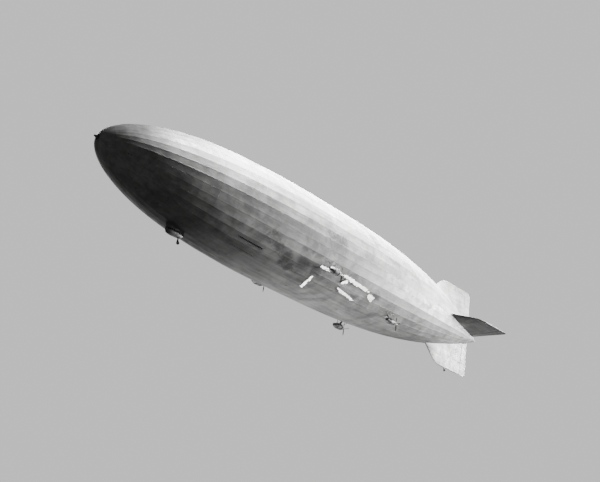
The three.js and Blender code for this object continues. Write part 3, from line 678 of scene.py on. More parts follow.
def panel_uvs(spans):
    """Panel coordinates of the cover's faces: the bays that each row spans, and the longitudinals."""
    uvs = []
    for a, b in spans:
        for j in range(AROUND):
            v, w = j / FACET_STEPS, (j + 1) / FACET_STEPS
            uvs.append([(a, v), (a, w), (b, w), (b, v)])
    return uvs


def cover_shell(rows, gap):
    """A closed length of cover, a little shorter than its bays, with panel coordinates."""
    ends = np.array(rows, float)
    ends[0] += gap
    ends[-1] -= gap
    points = np.concatenate([cover_points(ends, depth).reshape(-1, 3) for depth in (0, COVER)])
    outside = grid_faces(len(rows), AROUND, True)
    shift = len(rows) * AROUND
    inside = [tuple(i + shift for i in face[::-1]) for face in outside]
    last = shift - AROUND
    rims = []
    for j in range(AROUND):
        k = (j + 1) % AROUND
        rims.append((j, k, k + shift, j + shift))
        rims.append((last + k, last + j, last + j + shift, last + k + shift))
    bay = bay_number(rows)
    uvs = panel_uvs(zip(bay, bay[1:]))
    return (points, outside + inside + rims), uvs + [uv[::-1] for uv in uvs] + [None] * len(rims)


def facet_frame(station, clock):
    """Place and turn of a flat facet in the straight bay: X aft along it, Z into the hull."""
    low, high = STRAIGHT
    slope = float(hull_radius(high) - hull_radius(low)) / (high - low)
    out = outward(math.radians(clock))
    aft = unit(np.array([-1, 0, 0]) - slope * math.cos(HALF_SIDE) * out)
    inward = unit(np.dot(out, aft) * aft - out)
    place = np.array([along(station), 0, 0]) + flat_radius(station) * out
    return {"place": place, "turn": np.array([aft, np.cross(inward, aft), inward]).T}


def cut(piece, shapes):
    """Cuts closed shapes out of a piece."""
    form = Form()
    for shape in shapes:
        form.add(shape)
    tool = bpy.data.objects.new("tool", form.mesh("tool", [COVER_CLOTH], 30))
    bpy.context.scene.collection.objects.link(tool)
    change = piece.modifiers.new("cut", "BOOLEAN")
    change.operation = "DIFFERENCE"
    change.solver = "EXACT"
    change.use_self = False
    change.object = tool
    bpy.context.view_layer.update()
    evaluated = piece.evaluated_get(bpy.context.evaluated_depsgraph_get())
    made = bpy.data.meshes.new_from_object(evaluated)
    made.set_sharp_from_angle(angle=math.radians(8))
    piece.modifiers.clear()
    piece.data = made
    bpy.data.objects.remove(tool)


STAIRS = {"station": 186.9, "clock": 10, "length": 4.2, "width": 1.1, "depth": 0.35, "slope": 45}
WELL = {"length": STAIRS["length"] + 0.1, "width": STAIRS["width"] + 0.14}
PROMENADE = {"from": 174.4, "to": 187.2, "clock": 40, "height": 1.15}
RIP_PLAN = [
    (0, 0), (0.2, 0.7), (0.55, 1), (0.85, 0.6), (1, 0), (0.8, -0.8), (0.45, -0.9), (0.15, -0.8),
]
TEETH = {
    "length": 0.28, "shift": 0.3, "depth": (0.02, 0.1), "deep_share": 0.12, "deeper": 1.8, "fade": 0.8,
}
STRIP_SHARE = 0.72  # of the torn edges, the part that carries curled strips
FLAP_THICK = 0.022
BLOWN_THICK = 0.025


def cloth(point, rows, columns, thick):
    """A closed sheet from a function of row, column and thickness."""
    layers = [
        np.array([[point(i, j, depth) for j in range(columns)] for i in range(rows)])
        for depth in (0, thick)
    ]
    return sheet(*layers)


class Rip:
    """A torn place that runs from one station and clock angle to another."""

    def __init__(self, start, end, width):
        self.station, clock = start
        self.angle = math.radians(clock)
        self.radius = float(hull_radius((start[0] + end[0]) / 2))
        self.run = np.array([end[0] - start[0], math.radians(end[1] - clock) * self.radius])
        self.length = np.linalg.norm(self.run)
        self.side = np.array([-self.run[1], self.run[0]]) / self.length
        self.half = width / 2

    def jagged(self, draw):
        """Draws the outline, as distances along and round the hull from the start."""
        corners = [a * self.run + b * self.half * self.side for a, b in RIP_PLAN]
        outline = []
        for one, two in zip(corners, corners[1:] + corners[:1]):
            length = np.linalg.norm(two - one)
            normal = np.array([one[1] - two[1], two[0] - one[0]]) / length
            parts = max(3, int(length / TEETH["length"]))
            for i in range(parts):
                shift = draw.uniform(-TEETH["shift"], TEETH["shift"]) if i else 0
                push = draw.uniform(*TEETH["depth"]) * (1 if i % 2 else -1) if i else 0
                if draw.random() < TEETH["deep_share"]:
                    push *= TEETH["deeper"]
                point = one + (two - one) * ((i + shift) / parts)
                room = min(np.linalg.norm(point), np.linalg.norm(point - self.run))
                outline.append(point + normal * push * min(1, room / TEETH["fade"]))
        self.outline = np.array(outline)

    def point(self, flat, out):
        """A point at distances along and round the hull, and from its axis."""
        angle = self.angle + flat[1] / self.radius
        return np.array([along(self.station + flat[0]), 0, 0]) + out * outward(angle)

    def skin_point(self, flat, rise):
        """A point that stands a distance off the cover's outer face, on a facet with no sag."""
        angle = self.angle + flat[1] / self.radius
        off = angle - 2 * HALF_SIDE * round(angle / (2 * HALF_SIDE))
        return self.point(flat, flat_radius(self.station + flat[0]) / math.cos(off) + rise)

    def prism(self):
        """Closed tool that cuts the torn place out of the cover."""
        reach = 1.05
        levels = (self.radius - reach, self.radius + reach)
        points, faces = loft([[self.point(p, level) for p in self.outline] for level in levels])
        cap = tessellate_polygon([[Vector((*p, 0)) for p in self.outline]])
        other = [tuple(i + len(self.outline) for i in face) for face in cap]
        return points, faces[:-2] + list(cap) + other

    def flap(self, one, two, draw):
        """A torn strip that hangs on one edge of the hole and curls back over the cover."""
        away = (one + two) / 2 - self.outline.mean(0)
        edge = unit(two - one)
        away -= np.dot(away, edge) * edge
        away /= max(1e-6, np.linalg.norm(away))
        columns, rows = 9, 7
        curl = draw.uniform(0.22, 0.46)
        reach = draw.uniform(0.9, 2.7)
        lean = draw.uniform(-0.25, 0.25)
        fray = [draw.uniform(0.55, 1.0) for _ in range(columns)]

        def point(i, j, thick):
            share, t = i / (rows - 1), j / (columns - 1)
            width = math.sin(math.pi * min(1, 0.12 + 0.88 * t)) ** 0.5 * fray[j]
            angle = reach * share * width
            back = curl * math.sin(angle) * (1.2 - 0.2 * width) - 0.03
            rise = curl * (1 - math.cos(angle)) + 0.012 + thick
            flat = one + (two - one) * t + away * back + edge * lean * share * curl * 2
            return self.skin_point(flat, rise)

        return cloth(point, rows, columns, FLAP_THICK)

    def billow(self, draw):
        """Pale inner cloth that is blown out through the hole, as a creased sheet."""
        sides = [sorted((a, b) for a, b in RIP_PLAN if b * way >= 0) for way in (1, -1)]
        rows, columns, tuck = max(14, int(self.length / 0.22)), 13, 0.09
        waves = [
            (draw.uniform(2, 9), draw.uniform(-2.5, 2.5), draw.uniform(0, 6.3)) for _ in range(7)
        ]

        def point(i, j, thick):
            u = 0.015 + 0.97 * i / (rows - 1)
            v = j / (columns - 1) * 2 - 1
            high, low = [self.half * np.interp(u, *zip(*plan)) for plan in sides]
            across = (low - tuck) + (high - low + 2 * tuck) * (v + 1) / 2
            swell = min(1, min(u, 1 - u) * self.length / 0.9)
            phases = [a * u * self.length / 2 + b * v * 2 + p for a, b, p in waves]
            crease = sum(map(math.sin, phases)) / len(waves)
            rise = -0.17 + (1 - v * v) ** 0.7 * swell * (0.44 + 0.24 * crease)
            return self.skin_point(u * self.run + across * self.side, rise - thick)

        return cloth(point, rows, columns, BLOWN_THICK)


RIPS = [
    Rip((145.2, 20.5), (145.7, 40), 0.95),
    Rip((145.5, 54.2), (137.6, 54.4), 0.8),
    Rip((132.2, 57.4), (113.4, 53.4), 1.3),
    Rip((127.6, 54.2), (130.6, 47.2), 0.8),
    Rip((130.6, 40.6), (117.4, 35.4), 0.9),
    Rip((112.8, 49.6), (108, 47.4), 2.2),
]
COVERS = {
    "bow_cover": (203, 241.5),
    "fore_cover": (156.5, 203),
    "mid_cover": (107, 156.5),
    "aft_cover": (62, 107),
    "stern_cover": (8, 62),
}


def openings():
    """Wells of the boarding stairs and the strips of the promenade windows."""
    shapes = []
    for side in (1, -1):
        for station, clock, length, width in (
            (STAIRS["station"], STAIRS["clock"], WELL["length"], WELL["width"]),
            (PROMENADE["to"], PROMENADE["clock"], PROMENADE["to"] - PROMENADE["from"], PROMENADE["height"]),
        ):
            well = block([length, width, 0.9], [length / 2, 0, 0], 0.001)
            facet = facet_frame(station, side * clock)
            shapes.append(moved(well, facet["place"], facet["turn"]))
    return shapes


def hull():
    draw = random.Random(11)
    for rip in RIPS:
        rip.jagged(draw)
    for name, (low, high) in COVERS.items():
        shell, uvs = cover_shell(cover_rows(low, high), 0.0015)
        fabric = name.replace("cover", "fabric")
        form = Form().add(shell, uvs=uvs)
        made = form.piece(fabric, "ship", "cover_fabric", [COVER_CLOTH], [name], sharp=8)
        if name == "mid_cover":
            for rip in RIPS:
                cut(made, [rip.prism()])
        if name == "fore_cover":
            cut(made, openings())
    torn, blown = Form(), Form()
    for rip in RIPS:
        last = len(rip.outline) - 1
        i = 0
        while i < last - 1:
            step = draw.choice([2, 3, 3, 4])
            if draw.random() < STRIP_SHARE:
                torn.add(rip.flap(rip.outline[i], rip.outline[min(i + step, last)], draw))
            i += step
    for rip in RIPS:
        blown.add(rip.billow(draw))
    torn.piece("torn_edges", "ship", "cover_fabric", [LINEN], sharp=40)
    blown.piece("blown_cloth", "ship", "cover_fabric", [LINEN], sharp=60)


def nose():
    """Nose cap with a round hole for the mooring cone."""
    stations = [
        241.5, 242.0, 242.4, 242.8, 243.2, 243.6, 243.9, 244.2, 244.45, 244.65, 244.8, 244.9,
    ]
    hole_radius = 0.5
    outer = cover_points(stations, 0, sag=0)
    inner = cover_points(stations[:-1], COVER, sag=0)
    share = hole_radius / float(hull_radius(stations[-1]))
    hole = outer[-1] * [1, share, share]
    rings = [*outer, hole, hole - [COVER, 0, 0], *inner[::-1]]
    between_rings = (0.3, 0.5)
    uvs = panel_uvs([between_rings] * len(rings))
    form = Form().add(closed_rings(rings), uvs=uvs)
    form.piece("nose_fabric", "ship", "cover_fabric", [COVER_CLOTH], ["nose_cap"], sharp=8)


def mooring_cone():
    """Cone with its flange, a ring of bolts and four stay rods."""
    profile = [
        (-0.2, 0), (-0.2, 0.45), (0, 0.45), (0, 0.93), (0.02, 0.95), (0.13, 0.95), (0.15, 0.93),
        (0.15, 0.68), (0.19, 0.62), (0.3, 0.57), (1.02, 0.325), (1.06, 0.34), (1.14, 0.33),
        (1.18, 0.3), (1.35, 0.28), (1.35, 0),
    ]
    place = (along(244.903), 0, 0)
    form = Form().turned(profile, 64, place=place)
    for y, z in circle(16, 0.82):
        form.bar((0.14, y, z), (0.2, y, z), 0.045, 6, 1, place=place)
    for y, z in circle(4, phase=0.5):
        start = (0.15, 0.72 * y, 0.72 * z)
        form.bar(start, (0.92, 0.35 * y, 0.35 * z), 0.045, 12, 1, place=place)
        form.bar(start, (0.2, 0.71 * y, 0.71 * z), 0.085, 12, place=place)
    form.piece("mooring_spindle", "ship", "steel", [STEEL, BRIGHT], ["mooring_cone"])


def tail():
    """Tail cone, a closed shell with a lamp at its tip."""
    stations = [8, 7, 6, 5, 4, 3, 2.2, 1.5]
    stack = [*cover_points(stations, 0)[::-1], *cover_points(stations, COVER)]
    body = np.array(stack).reshape(-1, 3)
    tip, apex, inner_apex = along(0), len(body), len(body) + 1
    points = np.concatenate([body, [[tip + 0.05, 0, 0], [tip + 0.5, 0, 0]]])
    last = len(body) - AROUND
    faces = grid_faces(len(stack), AROUND, True)
    faces += [(apex, (j + 1) % AROUND, j) for j in range(AROUND)]
    faces += [(inner_apex, last + j, last + (j + 1) % AROUND) for j in range(AROUND)]
    socket = [(0.85, 0), (0.85, 0.27), (0.8, 0.33), (0.55, 0.26), (0.5, 0)]
    lens = [(0.52, 0), (0.52, 0.2), (0.3, 0.19), (0.12, 0.12), (0.03, 0)]
    form = Form().add((points, faces))
    for look, profile in ((1, socket), (2, lens)):
        form.turned(profile, 40, look, place=(tip, 0, 0))
    looks = [COVER_CLOTH, DURALUMIN, CLEAR]
    form.piece("tail_fabric", "ship", "cover_fabric", looks, ["tail_cone"], sharp=20)


hull()
nose()
mooring_cone()
tail()


# Frame and gas cells behind the tears
FRAMES = {"ring_frame_140": 140, "ring_frame_124": 123.5}
BEHIND_TEARS = (107.6, 148.4)


def ring_girders():
    """Two main rings: twin outer chords, an inner one and the diagonals between them."""
    depth, half, steps = 0.95, 0.13, 5
    for name, station in FRAMES.items():
        x = along(station)
        outside = float(hull_radius(station)) - COVER - 0.07
        corners = [outward(2 * HALF_SIDE * (i + 0.5)) for i in range(SIDES + 1)]

        def chord(corner, share, radius, offset=0.0):
            """A point of a chord between two corners of the ring."""
            point = corners[corner] * (1 - share) + corners[corner + 1] * share
            return radius * point + [x + offset, 0, 0]

        form = Form()
        for offset, radius, thick in (
            (-half, outside, 0.045), (half, outside, 0.045), (0, outside - depth, 0.06),
        ):
            path = [chord(i, 0, radius, offset) for i in range(SIDES)]
            form.pipe(path, thick, 6, looped=True)
        for i in range(SIDES):
            for k in range(steps):
                inner = chord(i, (k + 0.5) / steps, outside - depth)
                for offset in (-half, half):
                    form.bar(chord(i, k / steps, outside, offset), inner, 0.022, 4)
                    form.bar(inner, chord(i, (k + 1) / steps, outside, offset), 0.022, 4)
        form.piece(name.replace("frame", "girder"), "ship", "duralumin", [DURALUMIN], [name])


def longitudinal_girders():
    """Lattice girders under the cover's corners, where the torn places let them show."""
    step, half, upper, lower = 1.2, 0.16, 0.08, 0.4
    form = Form()
    for clock in range(15, 66, 10):
        angle = math.radians(clock)

        def place(station, depth, side):
            radius = float(hull_radius(station)) - COVER - 0.06 - depth
            return np.array([along(station), 0, 0]) + radius * outward(angle) + side * around(angle)

        stations = np.arange(*BEHIND_TEARS, step)
        for depth, side in ((upper, -half), (upper, half), (lower, 0)):
            form.pipe([place(s, depth, side) for s in stations[::3]], 0.03, 5)
        for s in stations[:-1]:
            if min(abs(s - ring) for ring in FRAMES.values()) < 0.7:
                continue
            middle = s + step / 2
            for side in (-half, half):
                form.bar(place(s, upper, side), place(middle, lower, 0), 0.016, 4)
                form.bar(place(middle, lower, 0), place(s + step, upper, side), 0.016, 4)
            form.bar(place(s, upper, -half), place(middle, upper, half), 0.014, 4)
    form.piece("lattice_longitudinals", "ship", "duralumin", [DURALUMIN])


def gas_cells():
    """Creased cell cloth that lies inside the frame, as one sheet with a thickness."""
    draw = random.Random(5)
    waves = [(draw.uniform(0.2, 1.4), draw.uniform(0.5, 3), draw.uniform(0, 6.3)) for _ in range(9)]
    stations = np.arange(107.5, 149.1, 0.4)
    clocks = np.radians(np.arange(14, 65.1, 0.9))
    s, c = np.meshgrid(stations, clocks, indexing="ij")
    crease = sum(np.sin(a * s + b * 12 * c + p) for a, b, p in waves) / len(waves)
    cell_radius, thick = 19.04, 0.03
    outer = cell_radius + 0.1 * crease + 0.08 * np.abs(np.sin(math.pi * bay_number(s)))
    layers = [
        np.stack([along(s), r * np.sin(c), -r * np.cos(c)], axis=2) for r in (outer, outer - thick)
    ]
    Form().add(sheet(*layers)).piece("gas_cell", "ship", "cover_fabric", [CELL])


ring_girders()
longitudinal_girders()
gas_cells()


# Fins, rudders and elevators
HINGE = 13.4
FIN = {
    "root": 3, "tip": 22.3, "lower_tip": 20.6, "edge": 58.6, "sweep": 22.6 / 17.4,
    "thick_root": 1.9, "thick_tip": 0.3, "post_root": 0.75, "post_tip": 0.2, "gap": 0.08,
    "thickest": 0.35,
}
FLAP = {"rear": 8.2, "half": 0.06, "clear": 0.25}
TIP_ROUND = {"depth": 1.9, "lead": 5, "trail": 2.3}
RIB, SPAR = 2.42, 4.6
FIN_SHARES = [
    0, 0.004, 0.012, 0.025, 0.045, 0.07, 0.1, 0.14, 0.19, 0.25, 0.32, 0.4, 0.48, 0.56, 0.64, 0.72,
    0.8, 0.88, 0.95, 1,
]
FLAP_SHARES = [0.12, 0.26, 0.4, 0.55, 0.7, 0.84, 0.94, 1.0]
COVE = [57, 46, 34, 22, 11, 0, -11, -22, -34, -46, -57]
TIP_ROWS = [1.9, 1.6, 1.3, 1.05, 0.8, 0.6, 0.45, 0.3, 0.22, 0.15, 0.09, 0.04, 0.012, 0.0]


class Surface:
    """Sections of a fin and of the flap behind it, by height; the tip differs from fin to fin."""

    def __init__(self, tip):
        self.tip = tip

    def between(self, kind, height):
        """A thickness at a height, between its values at the root and the tip."""
        share = (height - FIN["root"]) / (self.tip - FIN["root"])
        return FIN[f"{kind}_root"] + share * (FIN[f"{kind}_tip"] - FIN[f"{kind}_root"])

    def rounded(self, height, most):
        """How far the tip's rounding moves an edge in, at a height."""
        up = min(1.0, max(0.0, 1 - (self.tip - height) / TIP_ROUND["depth"]))
        return most * (1 - math.sqrt(1 - up * up))

    def closing(self, height):
        """Share of the thickness that is left as the tip's edge closes."""
        near = max(0.0, 1 - (self.tip - height) / 0.3)
        return math.sqrt(max(0.0, 1 - near * near))

    def sag(self, half, share, height, most):
        """The cloth's sag between ribs, where the surface isn't thin."""
        between = abs(math.sin(math.pi * height / RIB))
        return most * between * math.sin(math.pi * share) if half > 0.1 else 0.0

    def fin_side(self, share, side, height):
        thick, post = self.between("thick", height), self.between("post", height)
        front = FIN["edge"] - (height - FIN["root"]) * FIN["sweep"]
        front -= self.rounded(height, TIP_ROUND["lead"])
        thickest = FIN["thickest"]
        if share < thickest:
            half = thick * math.sin(math.pi / 2 * (share / thickest) ** 0.62)
        else:
            turn = math.pi / 2 * (share - thickest) / (1 - thickest)
            half = post + (thick - post) * max(0.0, math.cos(turn)) ** 1.25
        half *= self.closing(height)
        half = max(0.004, half - self.sag(half, share, height, 0.045))
        return front - share * (front - HINGE - post - FIN["gap"]), side * half

    def fin_lip(self, side, height):
        post = self.between("post", height)
        station = HINGE + (post + FIN["gap"]) * math.cos(math.radians(COVE[0])) - 0.02
        return station, side * max(0.004, post * self.closing(height))

    def fin_cove(self, degrees, height):
        """The hollow that the flap's nose turns in."""
        radius, angle = self.between("post", height) + FIN["gap"], math.radians(degrees)
        y = 0.97 * max(0.004, self.closing(height)) * radius * math.sin(angle)
        return HINGE + radius * math.cos(angle), y

    def flap_nose(self, degrees, height):
        post, close, angle = self.between("post", height), self.closing(height), math.radians(degrees)
        station = HINGE + post * max(0.3, close) * math.cos(angle)
        return station, max(0.004, close) * post * math.sin(angle)

    def flap_side(self, share, side, height):
        post = self.between("post", height)
        rear = FLAP["rear"] + self.rounded(height, TIP_ROUND["trail"])
        half = post + (FLAP["half"] - post) * share
        sag = self.sag(half, share, height, 0.0225)
        return HINGE + (rear - HINGE) * share, side * max(0.006, half * self.closing(height) - sag)

    def root(self, section, clear):
        """Height at which a section line that runs outwards meets the hull."""
        low, high = 2.0, 19.0
        for _ in range(30):
            height = (low + high) / 2
            station, y = section(height)
            radius = float(hull_radius(max(0.2, station))) * math.cos(HALF_SIDE) + clear
            if height * height + y * y < radius * radius:
                low = height
            else:
                high = height
        return high

    def skin(self, sections, clear, lowest=0.0):
        """A closed skin over section lines that run from root to tip, with panel coordinates."""
        columns = []
        for section in sections:
            root = max(lowest, self.root(section, clear))
            top = self.tip - TIP_ROUND["depth"]
            heights = [root + (top - root) * share for share in np.linspace(0, 1, 33)[:-1]]
            heights += [self.tip - below for below in TIP_ROWS]
            lines = [(section(height), height) for height in heights]
            columns.append([(along(station), y, height) for (station, y), height in lines])
        grid = np.array(columns).transpose(1, 0, 2)
        panels = [[((x + ORIGIN) / SPAR, z / RIB) for x, _, z in row] for row in grid]
        uvs = []
        for one, two in zip(panels, panels[1:]):
            for j in range(len(one)):
                k = (j + 1) % len(one)
                uvs.append([one[j], one[k], two[k], two[j]])
        return loft(grid), uvs + [None, None]

    def fin(self):
        sections = [partial(self.fin_side, share, 1) for share in FIN_SHARES]
        sections += [partial(self.fin_lip, 1)]
        sections += [partial(self.fin_cove, angle) for angle in COVE]
        sections += [partial(self.fin_lip, -1)]
        sections += [partial(self.fin_side, share, -1) for share in FIN_SHARES[:0:-1]]
        return self.skin(sections, -0.03)

    def flap(self):
        """Rudder or elevator: a round nose on the hinge line and flat sides to the trailing edge."""
        sections = [partial(self.flap_nose, angle) for angle in np.linspace(-90, 90, 17)]
        sections += [partial(self.flap_side, share, 1) for share in FLAP_SHARES]
        sections += [partial(self.flap_side, share, -1) for share in FLAP_SHARES[::-1]]
        return self.skin(sections, FLAP["clear"], FIN["root"] - FLAP["clear"])


FINS = [
    ("upper_fin", "upper_rudder", "rudder_top", 0, "tip"),
    ("port_fin", "port_elevator", "elevator_left", -math.pi / 2, "tip"),
    ("starboard_fin", "starboard_elevator", "elevator_right", math.pi / 2, "tip"),
    ("lower_fin", "lower_rudder", "rudder_bottom", math.pi, "lower_tip"),
]


def tail_surfaces():
    skins = {}
    for tip in ("tip", "lower_tip"):
        surface = Surface(FIN[tip])
        skins[tip] = surface.fin(), surface.flap()
    for fin, flap, body, angle, tip in FINS:
        for (shape, uvs), name, rides in zip(skins[tip], (fin, flap), ("ship", body)):
            form = Form().add(shape, uvs=uvs, turn=spin("X", angle))
            form.piece(f"{name}_fabric", rides, "cover_fabric", [COVER_CLOTH], [name], sharp=28)


tail_surfaces()


# Engine cars
STANDOFF = 3.5
CARS = [
    ("port_forward", 140.8, 57.2), ("starboard_forward", 140.8, -57.2),
    ("port_aft", 93, 37.4), ("starboard_aft", 93, -37.4),
]
NACELLE = [
    (-3.5, 0.42), (-3, 0.72), (-2.2, 1.02), (-1, 1.24), (0.4, 1.3), (1.6, 1.2), (2.5, 0.98),
    (3, 0.78), (3.3, 0.6),
]
NACELLE_INSIDE = [
    (3.33, 0.57), (3.32, 0.53), (3.28, 0.5), (3.0, 0.5), (3.0, 0.56), (2.6, 0.8), (1.6, 1.08),
    (0.4, 1.18), (-1, 1.12), (-2.2, 0.9), (-3, 0.6), (-3.46, 0.34), (-3.5, 0.36),
]
PROPELLER_X = -3.95
BLADE = [(0.15, 0.24, 0.1), (0.7, 0.34, 0.08), (1.7, 0.46, 0.05), (2.6, 0.36, 0.03), (3, 0.16, 0.016)]
BLADE_SIDES = 18
PITCH = 3.4
NACELLE_LOOKS = [PAINT, DURALUMIN, STEEL, IRON, PANE]
SMOOTH_NACELLE = spline(NACELLE, 6)


def nacelle_radius(x):
    return float(np.interp(x, SMOOTH_NACELLE[:, 0], SMOOTH_NACELLE[:, 1]))


def on_nacelle(x, degrees, rise=0.0):
    """A point off the nacelle's skin at an angle from straight down."""
    return np.array([x, 0, 0]) + (nacelle_radius(x) + rise) * outward(math.radians(degrees))


def nacelle_ring(form, x, section, look=0):
    """A ring round the nacelle; its section is given off the skin at a distance forward."""
    form.turned([(x + dx, nacelle_radius(x) + rise) for dx, rise in section], 60, look)


def radiator(form):
    """Core, shutters, boss and bar, set back in the nose."""
    face = 3.08
    form.turned([(face - 0.1, 0), (face - 0.1, 0.5), (face, 0.5), (face, 0)], 40, 2)
    for y in np.arange(-6, 7) * 0.075:
        height = 2 * math.sqrt(0.49 ** 2 - y * y)
        form.box([0.1, 0.016, height], edge=0.004, look=1, place=(3.15, y, 0), turn=spin("Z", 0.5))
    form.turned([(face, 0), (face, 0.1), (3.24, 0.07), (3.27, 0)], 20, 1)
    form.bar((3.22, -0.5, 0), (3.22, 0.5, 0), 0.02, 8, 1)


def nacelle_flank(form, side):
    """Louvres, exhaust stubs and a round window with its frame."""
    louvre_clock, exhaust_clock = side * 72, side * 118
    turn = spin("X", math.radians(louvre_clock)) @ spin("Y", 0.35)
    for i in range(9):
        place = on_nacelle(-2.5 + i * 0.16, louvre_clock)
        form.box([0.1, 0.5, 0.05], edge=0.015, place=place, turn=turn)
    out = outward(math.radians(exhaust_clock))
    bends = ((0, 0), (0.1, 0), (0.16, 0.05), (0.19, 0.16))
    for i in range(8):
        base = on_nacelle(-1.25 + i * 0.31, exhaust_clock, -0.05)
        form.pipe([base + rise * out - [back, 0, 0] for rise, back in bends], 0.05, 10, 3)
    x = 1.05
    place = (x, side * (nacelle_radius(x) - 0.02), 0.1)
    turn = np.array([[0, 1, 0], [side, 0, 0], [0, 0, 1]])
    ring = [(0, 0.17), (0, 0.24), (0.05, 0.23), (0.05, 0.18), (0, 0.17)]
    form.turned(ring, 24, 1, place=place, turn=turn)
    form.turned([(0, 0), (0, 0.18), (0.03, 0.18), (0.035, 0)], 24, 4, place=place, turn=turn)


def nacelle_form():
    form = Form()
    outline = [tuple(point) for point in spline(NACELLE, 5)]
    form.turned(outline + NACELLE_INSIDE + outline[:1], 60)
    band = [(-0.05, -0.02), (-0.045, 0.012), (0.045, 0.012), (0.05, -0.02), (-0.05, -0.02)]
    for x in (-2.75, -1.9, -0.6, 0.55, 2.1, 2.75):
        nacelle_ring(form, x, band, 1)
    radiator(form)
    for side in (1, -1):
        nacelle_flank(form, side)
    below = (0, 0, -1.16)
    scoop = [(1.5, 0.1), (1.45, 0.2), (1.0, 0.24), (0.2, 0.2), (-0.5, 0.06)]
    form.turned(scoop, 24, place=below)
    form.turned([(1.4, 0), (1.4, 0.13), (1.46, 0.13), (1.47, 0)], 20, 2, place=below)
    # Upright edges of the door in the aft flank
    for x, y in ((-1.55, 1.13), (-0.8, 1.21)):
        form.box([0.03, 0.02, 1.0], (x, y, 0.05), 0.006, 1)
    return form


def blade_rings():
    """Sections of a blade from the hub to the tip, twisted to one pitch."""
    rings = []
    for distance, chord, half in spline(BLADE, 5):
        angle = math.atan2(PITCH, 2 * math.pi * max(distance, 0.7))
        ring = []
        for c, s in circle(BLADE_SIDES):
            thick = s * math.sqrt(max(0, 1 - c * c) + 1e-3) * (1.0 if s > 0 else 0.55)
            across, off = 0.5 * c * chord, thick * (1 + 0.175 * c) * half
            x = across * math.sin(angle) + off * math.cos(angle)
            y = across * math.cos(angle) - off * math.sin(angle)
            ring.append((x, y, distance))
        rings.append(ring)
    return np.array(rings)


def propeller_form():
    """Four wooden blades with metal sheaths on their outer halves, a hub and its bolts."""
    form = Form()
    rings = blade_rings()
    sheath = []
    for ring in rings[10:]:
        middle = ring.mean(0)
        edge = [ring[k % BLADE_SIDES] for k in range(-4, 5)]
        sheath.append([middle + (point - middle) * [1.04, 1.02, 1] for point in edge])
    sheath[-1] = [point + [0, 0, 0.004] for point in sheath[-1]]
    for quarter in range(4):
        turn = spin("X", math.pi / 2 * quarter)
        form.add(loft(rings), turn=turn)
        form.add(loft(sheath), 1, turn=turn)
    hub = [
        (-0.65, 0), (-0.645, 0.05), (-0.61, 0.1), (-0.56, 0.14), (-0.52, 0.18), (-0.4, 0.25),
        (-0.3, 0.3), (-0.1, 0.33), (0.1, 0.34), (0.2, 0.33), (0.24, 0.28), (0.28, 0.15),
        (0.95, 0.15), (0.95, 0),
    ]
    form.turned(hub, 40, 2)
    for y, z in circle(8, 0.24, 0.5):
        form.bar((-0.44, y, z), (-0.36, y, z), 0.03, 6, 2)
    return form


def mount_form(station, clock):
    """Saddles, struts, wires, climbing tube and ladder from a nacelle's centre up to the hull."""
    foot_x, foot_out, foot_side = 1.3, 1.2, 0.5
    head_x, head_out, head_side = 2.25, 4.5, 2.1
    angle = math.radians(clock)
    reach = float(hull_radius(station)) + STANDOFF
    centre = np.array([along(station), 0, 0]) + reach * outward(angle)

    def to_hull(x, out, across=0.0):
        return np.array([x, 0, 0]) - out * outward(angle) + across * around(angle)

    def clipped(start, end):
        """The end of a strut that stops just inside the cover."""
        for t in np.linspace(0, 1, 200):
            point = start + (end - start) * t
            x, y, z = point + centre
            if math.hypot(y, z) < float(hull_radius(x + ORIGIN)) * math.cos(HALF_SIDE) - 0.02:
                return point
        return end

    def strut(x_sign, side):
        foot = to_hull(x_sign * foot_x, foot_out, side * foot_side)
        return foot, clipped(foot, to_hull(x_sign * head_x, head_out, side * head_side))

    form = Form()
    saddle = [
        (-0.14, -0.01), (-0.14, 0.06), (-0.1, 0.09), (0.1, 0.09), (0.14, 0.06), (0.14, -0.01),
        (-0.14, -0.01),
    ]
    for way in (1, -1):
        nacelle_ring(form, way * foot_x, saddle)
        for side in (-1, 1):
            foot, end = strut(way, side)
            run = unit(end - foot)
            form.bar(foot, end, 0.062, 16, wide=2.4)
            form.bar(end - run * 0.32, end, 0.1, 16, 1, wide=2.0, taper=1.5)
            form.bar(foot, foot + run * 0.25, 0.1, 12, 1, wide=1.9, taper=0.8)
            form.bar(foot + run * 0.2, strut(-way, side)[1], 0.014, 5)
    form.bar(to_hull(foot_x, 1.36), to_hull(-foot_x, 1.36), 0.09, 14)
    bottom = to_hull(0, foot_out)
    top = clipped(bottom, to_hull(0, head_out))
    form.bar(bottom, top, 0.17, 20, wide=1.7)
    form.bar(top - unit(top - bottom) * 0.3, top, 0.22, 20, 1, wide=1.6, taper=1.4)
    rails, rung_step = (0.45, 0.75), 0.3
    for x in rails:
        start = to_hull(x, 1.25)
        form.bar(start, clipped(start, to_hull(x, head_out)), 0.025, 8, 2)
    for i in range(int(np.linalg.norm(top - bottom) / rung_step - 1)):
        ends = [to_hull(x, 1.5 + i * rung_step) for x in rails]
        form.bar(*ends, 0.02, 8, 2)
    return form, centre


def engine_cars():
    nacelle = nacelle_form().mesh("nacelle", NACELLE_LOOKS, 34)
    propeller = propeller_form().mesh("propeller", [WALNUT, BRASS, BRIGHT], 40)
    struts = [STEEL, PAINT, DURALUMIN]
    for name, station, clock in CARS:
        form, centre = mount_form(station, clock)
        put_piece(f"{name}_cowling", nacelle, "ship", [f"{name}_nacelle"], centre)
        form.piece(f"{name}_struts", "ship", "steel", struts, [f"{name}_mount"], centre)
        hub, body = centre + [PROPELLER_X, 0, 0], f"propeller_{name}"
        put_piece(f"{name}_airscrew", propeller, body, [f"{name}_propeller"], hub)
        repaint(f"{name}_engine", IRON)


engine_cars()


